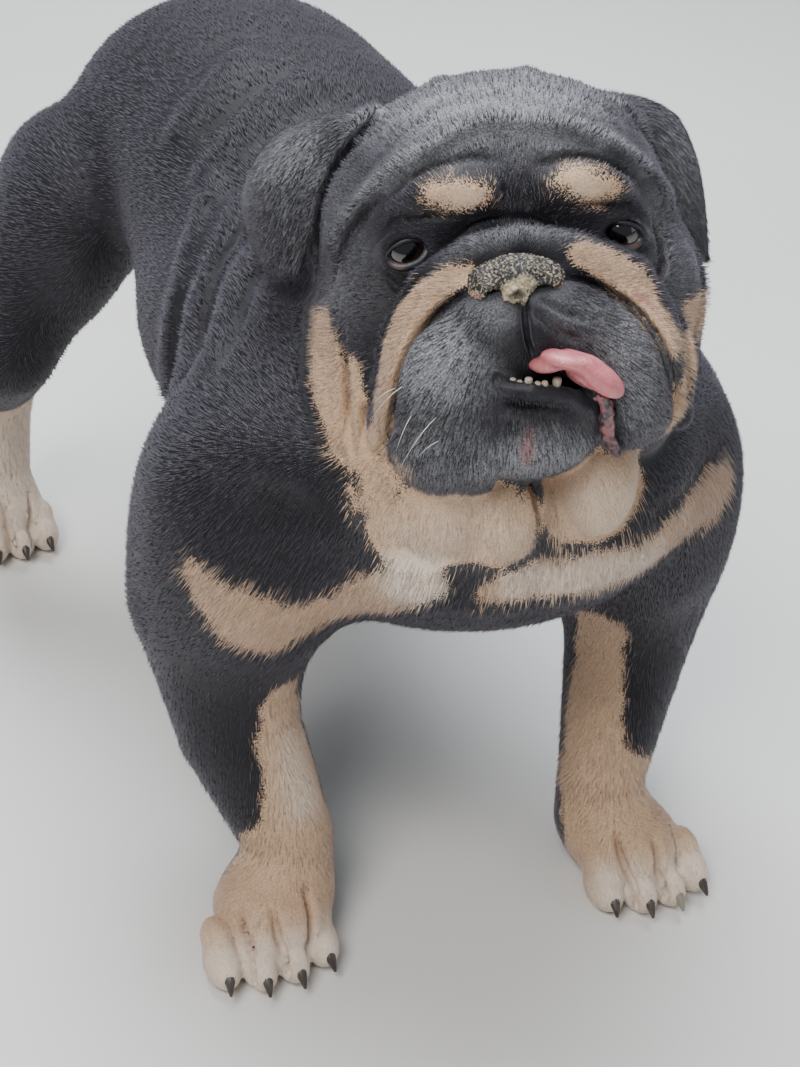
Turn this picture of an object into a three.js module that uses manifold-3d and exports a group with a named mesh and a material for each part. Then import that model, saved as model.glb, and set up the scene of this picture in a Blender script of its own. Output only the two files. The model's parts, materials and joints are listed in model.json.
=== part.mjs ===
// A life-size English bulldog, standing with its head turned and raised, as a still model in millimetres.
// +X is the dog's left, -Y is ahead of it, +Z is up, and the soles of the paws lie on Z = 0.
// The body is one smooth field of rounded forms, meshed region by region and parted by thin flat cuts.

import * as THREE from "three";
import { mergeVertices } from "three/addons/utils/BufferGeometryUtils.js";
import Module from "manifold-3d";

const wasm = await Module();
wasm.setup();

// Driving sizes, in millimetres and degrees
const GAP = 0.3;
const HEAD = { at: [-15, -4, 418], yaw: -19, pitch: 14, roll: -7.6 };
const SKULL = { y: 62, z: 10, width: 176, length: 144, height: 132 };
const CHEEK = { right: [-63, 45, -50], left: [60, 45, -48], radii: [38, 52, 60] };
const JOWL = { right: [-77, 32, -86], left: [56, 30, -78], radii: [28, 42, 42] };
const EYE = { x: 51.5, y: 9, z: 1.5, radius: 12.5, lid: 3.6, opening: [9.8, 9, 7.4] };
const NOSE = { x: -5, y: -34, z: -8, width: 43, height: 23 };
const FLEW = { right: [-38, -28, -70], left: [43, -26, -58] };
const CHEST = { y: 64, z: 278, width: 286, length: 244, height: 200 };
const SHOULDER = { y: 60, right: [-122, 238], left: [111, 226], radii: [56, 72, 88] };
const LOIN = { x: -16, y: 308, z: 326, width: 214, height: 172 };
const HIP = { x: -22, y: 396, z: 324, width: 220, height: 180 };
const TAIL = { at: [-30, 472, 338], radius: 18 };
const CLAW = { length: 14, radius: 4.2 };
const FORE = {
  right: { out: -1, elbow: [-133, 70, 188], arm: [-127, 44, 118], wrist: [-106, 14, 58], paw: [-128, -12] },
  left: { out: 1, elbow: [133, 66, 176], arm: [114, 40, 110], wrist: [93, 10, 56], paw: [105, -22] },
};
const HIND = {
  right: { out: -1, thigh: -138, knee: [-184, 374, 196], hock: [-170, 478, 112], paw: [-178, 442] },
  left: { out: 1, thigh: 58, knee: [102, 366, 194], hock: [98, 462, 110], paw: [98, 426] },
};
const PAW = { width: 78, height: 52, toe: [11.5, 19, 14] };

// Small vector helpers on plain arrays
const add = (a, b) => a.map((v, i) => v + b[i]);
const sub = (a, b) => [a[0] - b[0], a[1] - b[1], a[2] - b[2]];
const mul = (a, s) => a.map((v) => v * s);
const dot = (a, b) => a[0] * b[0] + a[1] * b[1] + a[2] * b[2];
const size = (a) => Math.hypot(a[0], a[1], a[2]);
const unit = (a) => mul(a, 1 / size(a));
const cross = (a, b) => [a[1] * b[2] - a[2] * b[1], a[2] * b[0] - a[0] * b[2], a[0] * b[1] - a[1] * b[0]];
const mix = (a, b, t) => a.map((v, i) => v + (b[i] - v) * t);
const clamp = (v, low, high) => Math.min(high, Math.max(low, v));
const both = [-1, 1];

function axesOf(...turns) {
  const turn = new THREE.Matrix4();
  for (const [axis, angle] of turns) {
    turn.multiply(new THREE.Matrix4()["makeRotation" + axis](THREE.MathUtils.degToRad(angle)));
  }
  return [0, 1, 2].map((i) => turn.elements.slice(i * 4, i * 4 + 3));
}

// The head's own frame: its origin lies midway between the eyes, -Y runs out of the face and +Z to the crown
const headAxes = axesOf(["Z", HEAD.yaw], ["X", -HEAD.pitch], ["Y", HEAD.roll]);
const toHead = (p) => {
  const d = sub(p, HEAD.at);
  return headAxes.map((axis) => dot(axis, d));
};
const turnFromHead = (d) => [0, 1, 2].map((i) => headAxes.reduce((sum, axis, k) => sum + axis[i] * d[k], 0));
const fromHead = (p) => add(turnFromHead(p), HEAD.at);

// Forms: a distance that is negative inside, and the width over which it melts into the rest
function ball(at, radii, soft = 12, ...turns) {
  const axes = turns.length ? axesOf(...turns) : null;
  const squares = radii.map((r) => r * r);
  const least = Math.min(...radii);
  const distance = (p) => {
    let d = sub(p, at);
    if (axes) d = axes.map((axis) => dot(axis, d));
    const near = Math.hypot(d[0] / radii[0], d[1] / radii[1], d[2] / radii[2]);
    const slope = Math.hypot(d[0] / squares[0], d[1] / squares[1], d[2] / squares[2]);
    return slope > 1e-6 ? (near * (near - 1)) / slope : -least;
  };
  return { soft, distance };
}

// A limb or roll of skin: round sections joined in a row, each given as [x, y, z, radius]
function chain(points, soft = 12) {
  const distance = (p) => {
    let best = Infinity;
    for (let i = 1; i < points.length; i++) {
      const a = points[i - 1];
      const b = points[i];
      const along = sub(b, a);
      const t = clamp(dot(sub(p, a), along) / dot(along, along), 0, 1);
      best = Math.min(best, size(sub(p, mix(a, b, t))) - mix([a[3]], [b[3]], t)[0]);
    }
    return best;
  };
  return { soft, distance };
}

const hollow = (form) => ({ ...form, carve: true });

function melt(a, b, soft) {
  const near = Math.max(soft - Math.abs(a - b), 0);
  return Math.min(a, b) - (near * near) / (4 * soft);
}

const FAR = 400;
const blend = (forms) => (p) =>
  forms.reduce((d, form) => {
    const e = form.distance(p);
    return form.carve ? -melt(-d, e, form.soft) : melt(d, e, form.soft);
  }, FAR);

// Folds: raised rolls and sunk furrows along a line that is laid on the surface
function layOn(field, line, from, along) {
  return line.map((point) => {
    let p = from(point);
    for (let i = 0; i < 60 && field(p) > 0.2; i++) p = add(p, mul(along, Math.max(field(p) * 0.8, 0.2)));
    return p;
  });
}

function withFolds(field, folds) {
  return (p) => {
    let d = field(p);
    for (const { path, width, height } of folds) {
      const away = path.distance(p);
      if (away < 3 * width) d -= height * Math.exp(-((away / width) ** 2));
    }
    return d;
  };
}

// The head, in its own frame
const eyeAt = (side) => [side * EYE.x, EYE.y, EYE.z];
const noseRollPath = [
  [-68, -16, -88, 9],
  [-62, -20, -62, 12],
  [-57, -20, -38, 13],
  [-44, -22, -13, 12.5],
  [-22, -27, 2, 11],
  [-2, -29, 6, 10],
  [24, -27, 0, 11],
  [50, -22, -15, 12.5],
  [63, -20, -40, 13],
  [70, -18, -64, 12],
  [73, -14, -86, 9],
];
const headForms = [
  ball([0, SKULL.y, SKULL.z], [SKULL.width / 2, SKULL.length / 2, SKULL.height / 2], 10),
  ball([0, 22, 22], [72, 34, 42], 14),
  ...both.map((side) => ball([side * 33, 2, 24], [24, 18, 17], 14)),
  ball(CHEEK.right, CHEEK.radii, 20),
  ball(CHEEK.left, CHEEK.radii, 20),
  ball(JOWL.right, JOWL.radii, 16),
  ball(JOWL.left, JOWL.radii, 16),
  ball([-70, 60, 14], [29, 38, 36], 14),
  ball([-3, 60, -60], [78, 60, 52], 20),
  ball([0, -16, -34], [60, 42, 38], 16),
  ball(FLEW.right, [36, 34, 45], 12),
  ball(FLEW.left, [37, 34, 40], 12),
  ball([-4, -48, -27], [26, 14, 14], 8),
  chain(noseRollPath, 7),
  ...both.map((side) => ball(eyeAt(side), [EYE.radius + EYE.lid, EYE.radius + EYE.lid, EYE.radius + EYE.lid], 5)),
  hollow(ball([-2, -36, -86], [33, 40, 34], 5)),
  hollow(chain([[-20, -68, -45, 4], [-2, -66, -45, 6], [14, -62, -52, 8], [30, -58, -64, 7], [37, -50, -84, 5]], 3)),
];
const headBase = blend(headForms);
const onFace = (line) => layOn(headBase, line, ([x, z]) => [x, -110, z], [0, 1, 0]).map((p) => [...p, 0]);
const faceFolds = [
  { line: [[-84, 19], [-39, 52], [-6, 62], [28, 57], [66, 25], [81, -18]], width: 7, height: 4.5 },
  { line: [[-84, 4], [-60, 24], [-36, 40], [-7, 50], [24, 45], [54, 20], [73, -16]], width: 5, height: -4 },
  { line: [[-82, 34], [-45, 66], [-6, 74], [34, 70], [72, 36]], width: 5, height: -3 },
  { line: [[-3, 46], [-1, 34], [-1, 19]], width: 6, height: -5 },
  { line: [[-60, -88], [-52, -60], [-45, -36], [-34, -18], [-24, -8]], width: 5.5, height: -8 },
  { line: [[16, -7], [34, -17], [49, -34], [56, -56], [62, -86]], width: 5.5, height: -8 },
  { line: [[-70, 2], [-80, -28], [-84, -66], [-82, -102]], width: 6, height: -6 },
  { line: [[72, 0], [84, -34], [86, -70], [80, -100]], width: 6, height: -6 },
  { line: [[-66, -20], [-72, -52], [-75, -90]], width: 7, height: 4 },
  { line: [[-4, -19], [-3, -27], [-3, -38]], width: 3.5, height: -4 },
].map(({ line, width, height }) => ({ path: chain(onFace(line)), width, height }));
const headField = withFolds(headBase, faceFolds);

// The lower jaw, the dewlap, the nose and the tongue, in the head's frame
const jawField = blend([
  ball([-2, -34, -80], [34, 29, 25], 8),
  chain([[-27, -46, -57, 7], [-14, -58, -54, 7], [-3, -61, -54, 8], [13, -57, -60, 7], [26, -46, -70, 7]], 6),
  ball([0, -8, -92], [38, 30, 20], 12),
]);
const dewlapField = blend([
  ball([-41, -4, -115], [45, 32, 37], 8),
  ball([-12, -12, -126], [21, 24, 28], 10),
  ball([33, -2, -114], [27, 28, 35], 3),
  ball([-68, 12, -110], [25, 32, 36], 12),
  ball([-4, 30, -112], [70, 34, 34], 14),
]);
const noseField = blend([
  ball([NOSE.x, NOSE.y - 2, NOSE.z], [NOSE.width / 2, 15, NOSE.height / 2], 6),
  ball([NOSE.x, NOSE.y - 8, NOSE.z - 1], [12, 10, 11], 6),
  ...both.map((side) => ball([NOSE.x + side * 14, NOSE.y - 5, NOSE.z - 3], [8.5, 11, 9], 4)),
  hollow(ball([NOSE.x - 9, NOSE.y - 18, NOSE.z - 5], [4.5, 9, 4], 2, ["Y", 25])),
  hollow(ball([NOSE.x + 9, NOSE.y - 18, NOSE.z - 5], [4.5, 9, 4], 2, ["Y", -25])),
]);
const tongueField = blend([
  ball([3, -50, -46], [12, 18, 4.5], 4),
  ball([15, -64, -45], [13, 11, 5], 5, ["Y", 18]),
  ball([28, -67, -52], [13, 8, 7], 6, ["Y", 42]),
]);

// The body and the limbs
const half = (form) => [form.width / 2, (form.length ?? form.height) / 2, form.height / 2];
function foreForms({ out, elbow, arm, wrist, paw }) {
  const [x, z] = out < 0 ? SHOULDER.right : SHOULDER.left;
  return [
    ball([x, SHOULDER.y, z], SHOULDER.radii, 30),
    chain([[x, 56, z + 14, 52], [...elbow, 48], [...arm, 36], [...wrist, 27], [wrist[0], wrist[1] - 4, 30, 28]], 26),
    ...pawForms(paw, wrist),
  ];
}

function hindForms({ thigh, knee, hock, paw }) {
  return [
    ball([thigh, HIP.y, 276], [40, 72, 64], 30),
    chain([[thigh, HIP.y - 4, 272, 44], [...knee, 37], [...mix(knee, hock, 0.6), 31], [...hock, 26]], 24),
    chain([[...hock, 26], [paw[0], paw[1] + 18, 44, 27]], 12),
    ...pawForms(paw, [paw[0], paw[1] + 16]),
  ];
}

const toeSpread = [-1.5, -0.5, 0.5, 1.5];
const toeAt = ([x, y], i) => [x + (i * PAW.width) / 4.1, y - 27 + Math.abs(i) * 7, PAW.toe[2] - 2];
function pawForms(paw, above) {
  return [
    ball([mix(paw, above, 0.35)[0], paw[1] + 6, 23], [PAW.width / 2 - 5, 37, PAW.height / 2], 14),
    ...toeSpread.map((i) => ball(toeAt(paw, i), PAW.toe, 5)),
    ...toeSpread.map((i) => ball(add(toeAt(paw, i), [0, 10, 9]), [10.5, 15, 12], 5)),
  ];
}

const tailTip = add(TAIL.at, [-6, 26, -34]);
const bodyForms = [
  ball([0, CHEST.y, CHEST.z], half(CHEST), 30),
  ball([-6, 190, 288], [134, 150, 98], 40),
  ball([LOIN.x, LOIN.y, LOIN.z], [LOIN.width / 2, 110, LOIN.height / 2], 40),
  ball([HIP.x, HIP.y, HIP.z], [HIP.width / 2, 92, HIP.height / 2], 40),
  ball([0, 0, 266], [92, 56, 50], 30),
  ...foreForms(FORE.right),
  ...foreForms(FORE.left),
  ...hindForms(HIND.right),
  ...hindForms(HIND.left),
];
const bodyField = blend(bodyForms);
const neckField = blend([chain([[0, 112, 300, 106], [8, 84, 352, 92], [12, 62, 376, 84]])]);
const tailField = blend([chain([[...TAIL.at, TAIL.radius], [...mix(TAIL.at, tailTip, 0.6), 13], [...tailTip, 7]])]);
const headOnNeck = (p) => melt(neckField(p), headField(toHead(p)), 16);
const inHead = (field) => (p) => field(toHead(p));

// Meshing: one vertex in each cell of a grid that the surface crosses, joined across the crossed edges
const CORNERS = [0, 1, 2, 3, 4, 5, 6, 7].map((i) => [i & 1, (i >> 1) & 1, i >> 2]);
const EDGES = CORNERS.flatMap((c, i) => [1, 2, 4].filter((bit) => !(i & bit)).map((bit) => [i, i | bit]));

function inOnePiece(members) {
  const first = members.indexOf(true);
  if (first < 0) return true;
  const reached = new Set([first]);
  const queue = [first];
  while (queue.length) {
    const corner = queue.pop();
    for (const bit of [1, 2, 4]) {
      const next = corner ^ bit;
      if (members[next] && !reached.has(next)) {
        reached.add(next);
        queue.push(next);
      }
    }
  }
  return reached.size === members.filter(Boolean).length;
}
const PLAIN = Array.from({ length: 256 }, (_, code) => {
  const inside = CORNERS.map((_, i) => Boolean((code >> i) & 1));
  return inOnePiece(inside) && inOnePiece(inside.map((v) => !v));
});

// Grid lines from low to high, as [low, high, cell] runs
function lines(...runs) {
  const out = [runs[0][0]];
  for (const [low, high, cell] of runs) {
    const count = Math.max(1, Math.round((high - low) / cell));
    for (let i = 1; i <= count; i++) out.push(low + ((high - low) * i) / count);
  }
  return out;
}

function polygonise(field, grid, tolerance) {
  const [nx, ny, nz] = grid.map((line) => line.length);
  const index = (i, j, k) => i + nx * (j + ny * k);
  const values = new Float64Array(nx * ny * nz);
  const at = (i, j, k) => [grid[0][i], grid[1][j], grid[2][k]];
  for (let k = 0; k < nz; k++) {
    for (let j = 0; j < ny; j++) {
      for (let i = 0; i < nx; i++) {
        const rim = i === 0 || j === 0 || k === 0 || i === nx - 1 || j === ny - 1 || k === nz - 1;
        const value = field(at(i, j, k));
        values[index(i, j, k)] = rim ? Math.max(value, 0.5) : value;
      }
    }
  }
  const corners = CORNERS.map(([x, y, z]) => index(x, y, z));
  fillPinches(values, corners, [nx, ny, nz], index);

  const vertices = [];
  const cells = new Map();
  const cellVertex = (i, j, k) => {
    const key = index(i, j, k);
    if (!cells.has(key)) {
      cells.set(key, vertices.length);
      vertices.push(surfacePoint(field, values, corners.map((c) => c + key), at(i, j, k), at(i + 1, j + 1, k + 1)));
    }
    return cells.get(key);
  };
  const faces = [];
  const steps = [index(1, 0, 0), index(0, 1, 0), index(0, 0, 1)];
  for (let k = 0; k < nz - 1; k++) {
    for (let j = 0; j < ny - 1; j++) {
      for (let i = 0; i < nx - 1; i++) {
        const here = values[index(i, j, k)] < 0;
        for (let axis = 0; axis < 3; axis++) {
          if (here === values[index(i, j, k) + steps[axis]] < 0) continue;
          const u = [0, 0, 0];
          const v = [0, 0, 0];
          u[(axis + 1) % 3] = 1;
          v[(axis + 2) % 3] = 1;
          const ring = [
            cellVertex(i, j, k),
            cellVertex(i - u[0], j - u[1], k - u[2]),
            cellVertex(i - u[0] - v[0], j - u[1] - v[1], k - u[2] - v[2]),
            cellVertex(i - v[0], j - v[1], k - v[2]),
          ];
          if (!here) ring.reverse();
          const [a, b, c, d] = ring;
          const direct = size(sub(vertices[a], vertices[c])) < size(sub(vertices[b], vertices[d]));
          faces.push(...(direct ? [a, b, c, a, c, d] : [b, c, d, b, d, a]));
        }
      }
    }
  }
  return simplify(vertices, faces, tolerance);
}

// A cell whose inside or outside corners fall in two groups would pinch the surface, so it is filled
function fillPinches(values, corners, [nx, ny, nz], index) {
  let changed = true;
  while (changed) {
    changed = false;
    for (let k = 0; k < nz - 1; k++) {
      for (let j = 0; j < ny - 1; j++) {
        for (let i = 0; i < nx - 1; i++) {
          const cell = corners.map((c) => c + index(i, j, k));
          const code = cell.reduce((bits, c, n) => bits | (values[c] < 0 ? 1 << n : 0), 0);
          if (PLAIN[code]) continue;
          const outside = cell.filter((c) => values[c] >= 0);
          const least = outside.reduce((a, b) => (values[a] <= values[b] ? a : b));
          values[least] = -0.05;
          changed = true;
        }
      }
    }
  }
}

// The mean of the edge crossings, drawn onto the true surface but kept inside its cell
function surfacePoint(field, values, cell, low, high) {
  let sum = [0, 0, 0];
  let count = 0;
  for (const [a, b] of EDGES) {
    const va = values[cell[a]];
    const vb = values[cell[b]];
    if (va < 0 === vb < 0) continue;
    const t = clamp(va / (va - vb), 0.02, 0.98);
    sum = add(sum, mix(CORNERS[a], CORNERS[b], t));
    count++;
  }
  const span = sub(high, low);
  let p = sum.map((v, i) => low[i] + (v / count) * span[i]);
  for (let pass = 0; pass < 2; pass++) {
    const step = 0.4;
    const slope = [0, 1, 2].map((i) => {
      const e = [0, 0, 0];
      e[i] = step;
      return (field(add(p, e)) - field(sub(p, e))) / (2 * step);
    });
    const steep = Math.max(dot(slope, slope), 0.2);
    p = p.map((v, i) => clamp(v - (field(p) * slope[i]) / steep, low[i] + 0.06 * span[i], high[i] - 0.06 * span[i]));
  }
  return p;
}

// Fewer triangles where the surface is even: short edges close up while no point leaves its planes by the tolerance
function simplify(vertices, faces, tolerance) {
  const triangles = [];
  for (let i = 0; i < faces.length; i += 3) triangles.push(faces.slice(i, i + 3));
  const planes = vertices.map(() => new Float64Array(10));
  const around = vertices.map(() => new Set());
  const normalOf = ([a, b, c]) => cross(sub(b, a), sub(c, a));
  triangles.forEach((face, f) => {
    const corners = face.map((v) => vertices[v]);
    const n = unit(normalOf(corners));
    const plane = [...n, -dot(n, corners[0])];
    face.forEach((v) => {
      around[v].add(f);
      let slot = 0;
      for (let i = 0; i < 4; i++) for (let j = i; j < 4; j++) planes[v][slot++] += plane[i] * plane[j];
    });
  });
  const error = (q, [x, y, z]) =>
    q[0] * x * x + 2 * q[1] * x * y + 2 * q[2] * x * z + 2 * q[3] * x + q[4] * y * y +
    2 * q[5] * y * z + 2 * q[6] * y + q[7] * z * z + 2 * q[8] * z + q[9];
  const neighbours = (v) => new Set([...around[v]].flatMap((f) => triangles[f]).filter((w) => w !== v));
  const steady = (v, other, p) =>
    [...around[v]].every((f) => {
      if (triangles[f].includes(other)) return true;
      const before = triangles[f].map((w) => vertices[w]);
      const after = triangles[f].map((w) => (w === v ? p : vertices[w]));
      const [n, m] = [normalOf(before), normalOf(after)];
      const edges = [0, 1, 2].map((i) => size(sub(after[i], after[(i + 1) % 3])));
      const slim = size(m) / Math.max(...edges) ** 2;
      return dot(n, m) > 0.5 * size(n) * size(m) && slim > 0.16;
    });

  let closed = true;
  while (closed) {
    closed = false;
    const edges = [];
    triangles.forEach((face) => {
      if (!face) return;
      face.forEach((a, i) => {
        const b = face[(i + 1) % 3];
        if (a > b) return;
        const q = planes[a].map((v, k) => v + planes[b][k]);
        const options = [vertices[a], vertices[b], mix(vertices[a], vertices[b], 0.5)];
        const p = options.reduce((x, y) => (error(q, x) <= error(q, y) ? x : y));
        const cost = error(q, p);
        if (cost < tolerance ** 2) edges.push({ a, b, p, q, cost });
      });
    });
    edges.sort((x, y) => x.cost - y.cost);
    const settled = new Set();
    for (const { a, b, p, q } of edges) {
      if (settled.has(a) || settled.has(b)) continue;
      const [near, far] = [neighbours(a), neighbours(b)];
      if ([...near].filter((v) => far.has(v)).length !== 2) continue;
      if (!steady(a, b, p) || !steady(b, a, p)) continue;
      vertices[a] = p;
      planes[a] = q;
      for (const f of [...around[b]]) {
        if (triangles[f].includes(a)) {
          triangles[f].forEach((v) => around[v].delete(f));
          triangles[f] = null;
        } else {
          triangles[f] = triangles[f].map((v) => (v === b ? a : v));
          around[a].add(f);
        }
      }
      around[b].clear();
      [a, ...near, ...far].forEach((v) => settled.add(v));
      closed = true;
    }
  }
  const kept = triangles.filter(Boolean);
  const renumbered = new Map();
  const points = [];
  kept.flat().forEach((v) => {
    if (renumbered.has(v)) return;
    renumbered.set(v, renumbered.size);
    points.push(vertices[v]);
  });
  return solid(points.flat(), kept.flat().map((v) => renumbered.get(v)));
}

// Solids and the joins and cuts between them
function solid(positions, faces) {
  return new wasm.Manifold(
    new wasm.Mesh({
      numProp: 3,
      vertProperties: new Float32Array(positions),
      triVerts: new Uint32Array(faces),
    }),
  );
}

function solidOf(geometry) {
  const bare = geometry.clone();
  bare.deleteAttribute("normal");
  bare.deleteAttribute("uv");
  const merged = mergeVertices(bare, 1e-4);
  return solid(merged.attributes.position.array, merged.index.array);
}

const largest = (made) => made.decompose().reduce((a, b) => (a.volume() > b.volume() ? a : b));

// The same solid with each face pushed outwards, which cuts a neighbour so that it fits round it with the gap.
// A vertex moves to where all the pushed faces about it meet, as nearly as one point can
function grown(made, by = GAP + 0.05) {
  const { vertProperties, triVerts } = made.getMesh();
  const points = [];
  for (let i = 0; i < vertProperties.length; i += 3) points.push(Array.from(vertProperties.subarray(i, i + 3)));
  const sums = points.map(() => ({ square: [0.02, 0, 0, 0, 0.02, 0, 0, 0, 0.02], push: [0, 0, 0] }));
  for (let i = 0; i < triVerts.length; i += 3) {
    const [a, b, c] = [0, 1, 2].map((k) => points[triVerts[i + k]]);
    const normal = cross(sub(b, a), sub(c, a));
    if (size(normal) < 1e-6) continue;
    const n = unit(normal);
    for (let k = 0; k < 3; k++) {
      const sum = sums[triVerts[i + k]];
      sum.square = sum.square.map((v, m) => v + n[Math.floor(m / 3)] * n[m % 3]);
      sum.push = add(sum.push, mul(n, by));
    }
  }
  const moved = points.flatMap((point, v) => {
    const step = new THREE.Vector3(...sums[v].push).applyMatrix3(new THREE.Matrix3(...sums[v].square).invert());
    return add(point, step.clampLength(0, 4 * by).toArray());
  });
  return solid(moved, triVerts);
}

const without = (made, ...neighbours) => largest(neighbours.reduce((a, b) => a.subtract(grown(b)), made));

// A block whose near face passes through a point, facing along a direction, with its other faces far away
const REACH = 2400;
function block(point, normal, shift = 0) {
  const n = unit(normal);
  const geometry = new THREE.BoxGeometry(REACH, REACH, REACH);
  geometry.applyQuaternion(new THREE.Quaternion().setFromUnitVectors(new THREE.Vector3(0, 0, 1), new THREE.Vector3(...n)));
  geometry.translate(...add(point, mul(n, REACH / 2 + shift)));
  return solidOf(geometry);
}

// What is left of a solid beyond each plane, given as [point, normal], with half the gap taken off
const beyond = (made, ...planes) =>
  largest(planes.reduce((a, [point, normal]) => a.intersect(block(point, normal, GAP / 2)), made));
const flip = ([point, normal]) => [point, mul(normal, -1)];

// The cut planes
const floor = [[0, 0, -GAP / 2], [0, 0, 1]];
const skullCut = [fromHead([0, 92, -20]), turnFromHead([0, 0.85, -0.52])];
const neckCut = [[4, 92, 316], [0, 0.62, -0.78]];
const waist = [[0, 222, 0], [0, 1, 0]];
const foreCut = (out) => [[out * 112, 60, 214], [out * 0.8, 0, -0.6]];
const hipCut = ({ out, thigh }) => [[thigh - out * 20, HIP.y, 250], [out * 0.68, 0.48, -0.54]];

const body = (low, high, cell, tolerance) =>
  polygonise(bodyField, low.map((v, i) => lines([v, high[i], cell])), tolerance);

function foreleg({ out, elbow, wrist, paw }) {
  const x = [out > 0 ? 20 : -230, out > 0 ? 230 : -20];
  const elbowCut = [[elbow[0], elbow[1], elbow[2] - 38], [0, 0.2, -0.98]];
  const wristCut = [[wrist[0], wrist[1], wrist[2] - 4], [0, 0.1, -0.99]];
  const upper = body([x[0], -90, 90], [x[1], 220, 400], 13, 6);
  const lower = body([x[0], -90, 20], [x[1], 150, 210], 10.5, 5);
  const foot = body([paw[0] - 60, paw[1] - 70, -22], [paw[0] + 70, paw[1] + 80, 90], 7, 3.6);
  return {
    upper: beyond(upper, foreCut(out), flip(elbowCut), flip(waist)),
    lower: beyond(lower, foreCut(out), elbowCut, flip(wristCut)),
    paw: beyond(foot, wristCut, floor),
    claws: claws(paw),
  };
}

function hindleg(leg) {
  const { out, knee, hock, paw } = leg;
  const middle = (leg.thigh + knee[0]) / 2;
  const kneeCut = [[knee[0], knee[1] + 20, knee[2] - 26], [0, 0.45, -0.89]];
  const hockCut = [[paw[0], paw[1], 52], [0, 0, -1]];
  const upper = body([middle - 120, 230, 110], [middle + 120, 520, 400], 13, 6);
  const lower = body([middle - 110, 290, 20], [middle + 110, 520, 220], 10.5, 5);
  const foot = body([paw[0] - 60, paw[1] - 70, -22], [paw[0] + 60, paw[1] + 70, 80], 7, 3.6);
  return {
    thigh: beyond(upper, hipCut(leg), flip(kneeCut)),
    lower: beyond(lower, hipCut(leg), kneeCut, flip(hockCut)),
    paw: beyond(foot, hockCut, floor),
    claws: claws(paw),
  };
}

// A closed round horn along a bent line of [x, y, z, radius], for claws and teeth
function horn(points, sides = 5) {
  const positions = [];
  const faces = [];
  points.forEach((point, n) => {
    const along = unit(sub(points[Math.min(n + 1, points.length - 1)], points[Math.max(n - 1, 0)]));
    const u = unit(cross(along, [1, 0, 0]));
    const v = cross(along, u);
    for (let s = 0; s < sides; s++) {
      const turn = (2 * Math.PI * s) / sides;
      positions.push(...add(point.slice(0, 3), mul(add(mul(u, Math.cos(turn)), mul(v, Math.sin(turn))), point[3])));
      if (n === 0) continue;
      const a = n * sides + s;
      const b = n * sides + ((s + 1) % sides);
      faces.push(a - sides, b - sides, b, a - sides, b, a);
    }
  });
  for (let s = 1; s < sides - 1; s++) {
    const end = (points.length - 1) * sides;
    faces.push(0, s + 1, s, end, end + s, end + s + 1);
  }
  return solid(positions, faces);
}

function claws(paw) {
  return toeSpread.map((i) => {
    const root = add(toeAt(paw, i), [0, -PAW.toe[1] + 8, 3]);
    return horn([
      [...root, CLAW.radius],
      [...add(root, [i, -CLAW.length * 0.65, -2]), CLAW.radius * 0.8],
      [...add(root, [i * 1.4, -CLAW.length, -7]), CLAW.radius * 0.3],
    ]);
  });
}

// The lower front teeth, a curved row set in the gum behind the lip
function lowerTeeth() {
  return [-4, -3, -2, -1, 0, 1, 2, 3].map((i) => {
    const tall = i === -4 || i === 3 ? 10 : 7 - Math.abs(i + 0.5) * 0.3;
    const root = [i * 4.4 + 1, -52 + 0.35 * i * i, -54 - 0.75 * Math.max(i, -1)];
    const top = add(root, [0, -1, tall]);
    return horn([root, mix(root, top, 0.6), top].map((p, n) => [...fromHead(p), [2.6, 2.3, 1.1][n]]), 5);
  });
}

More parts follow.
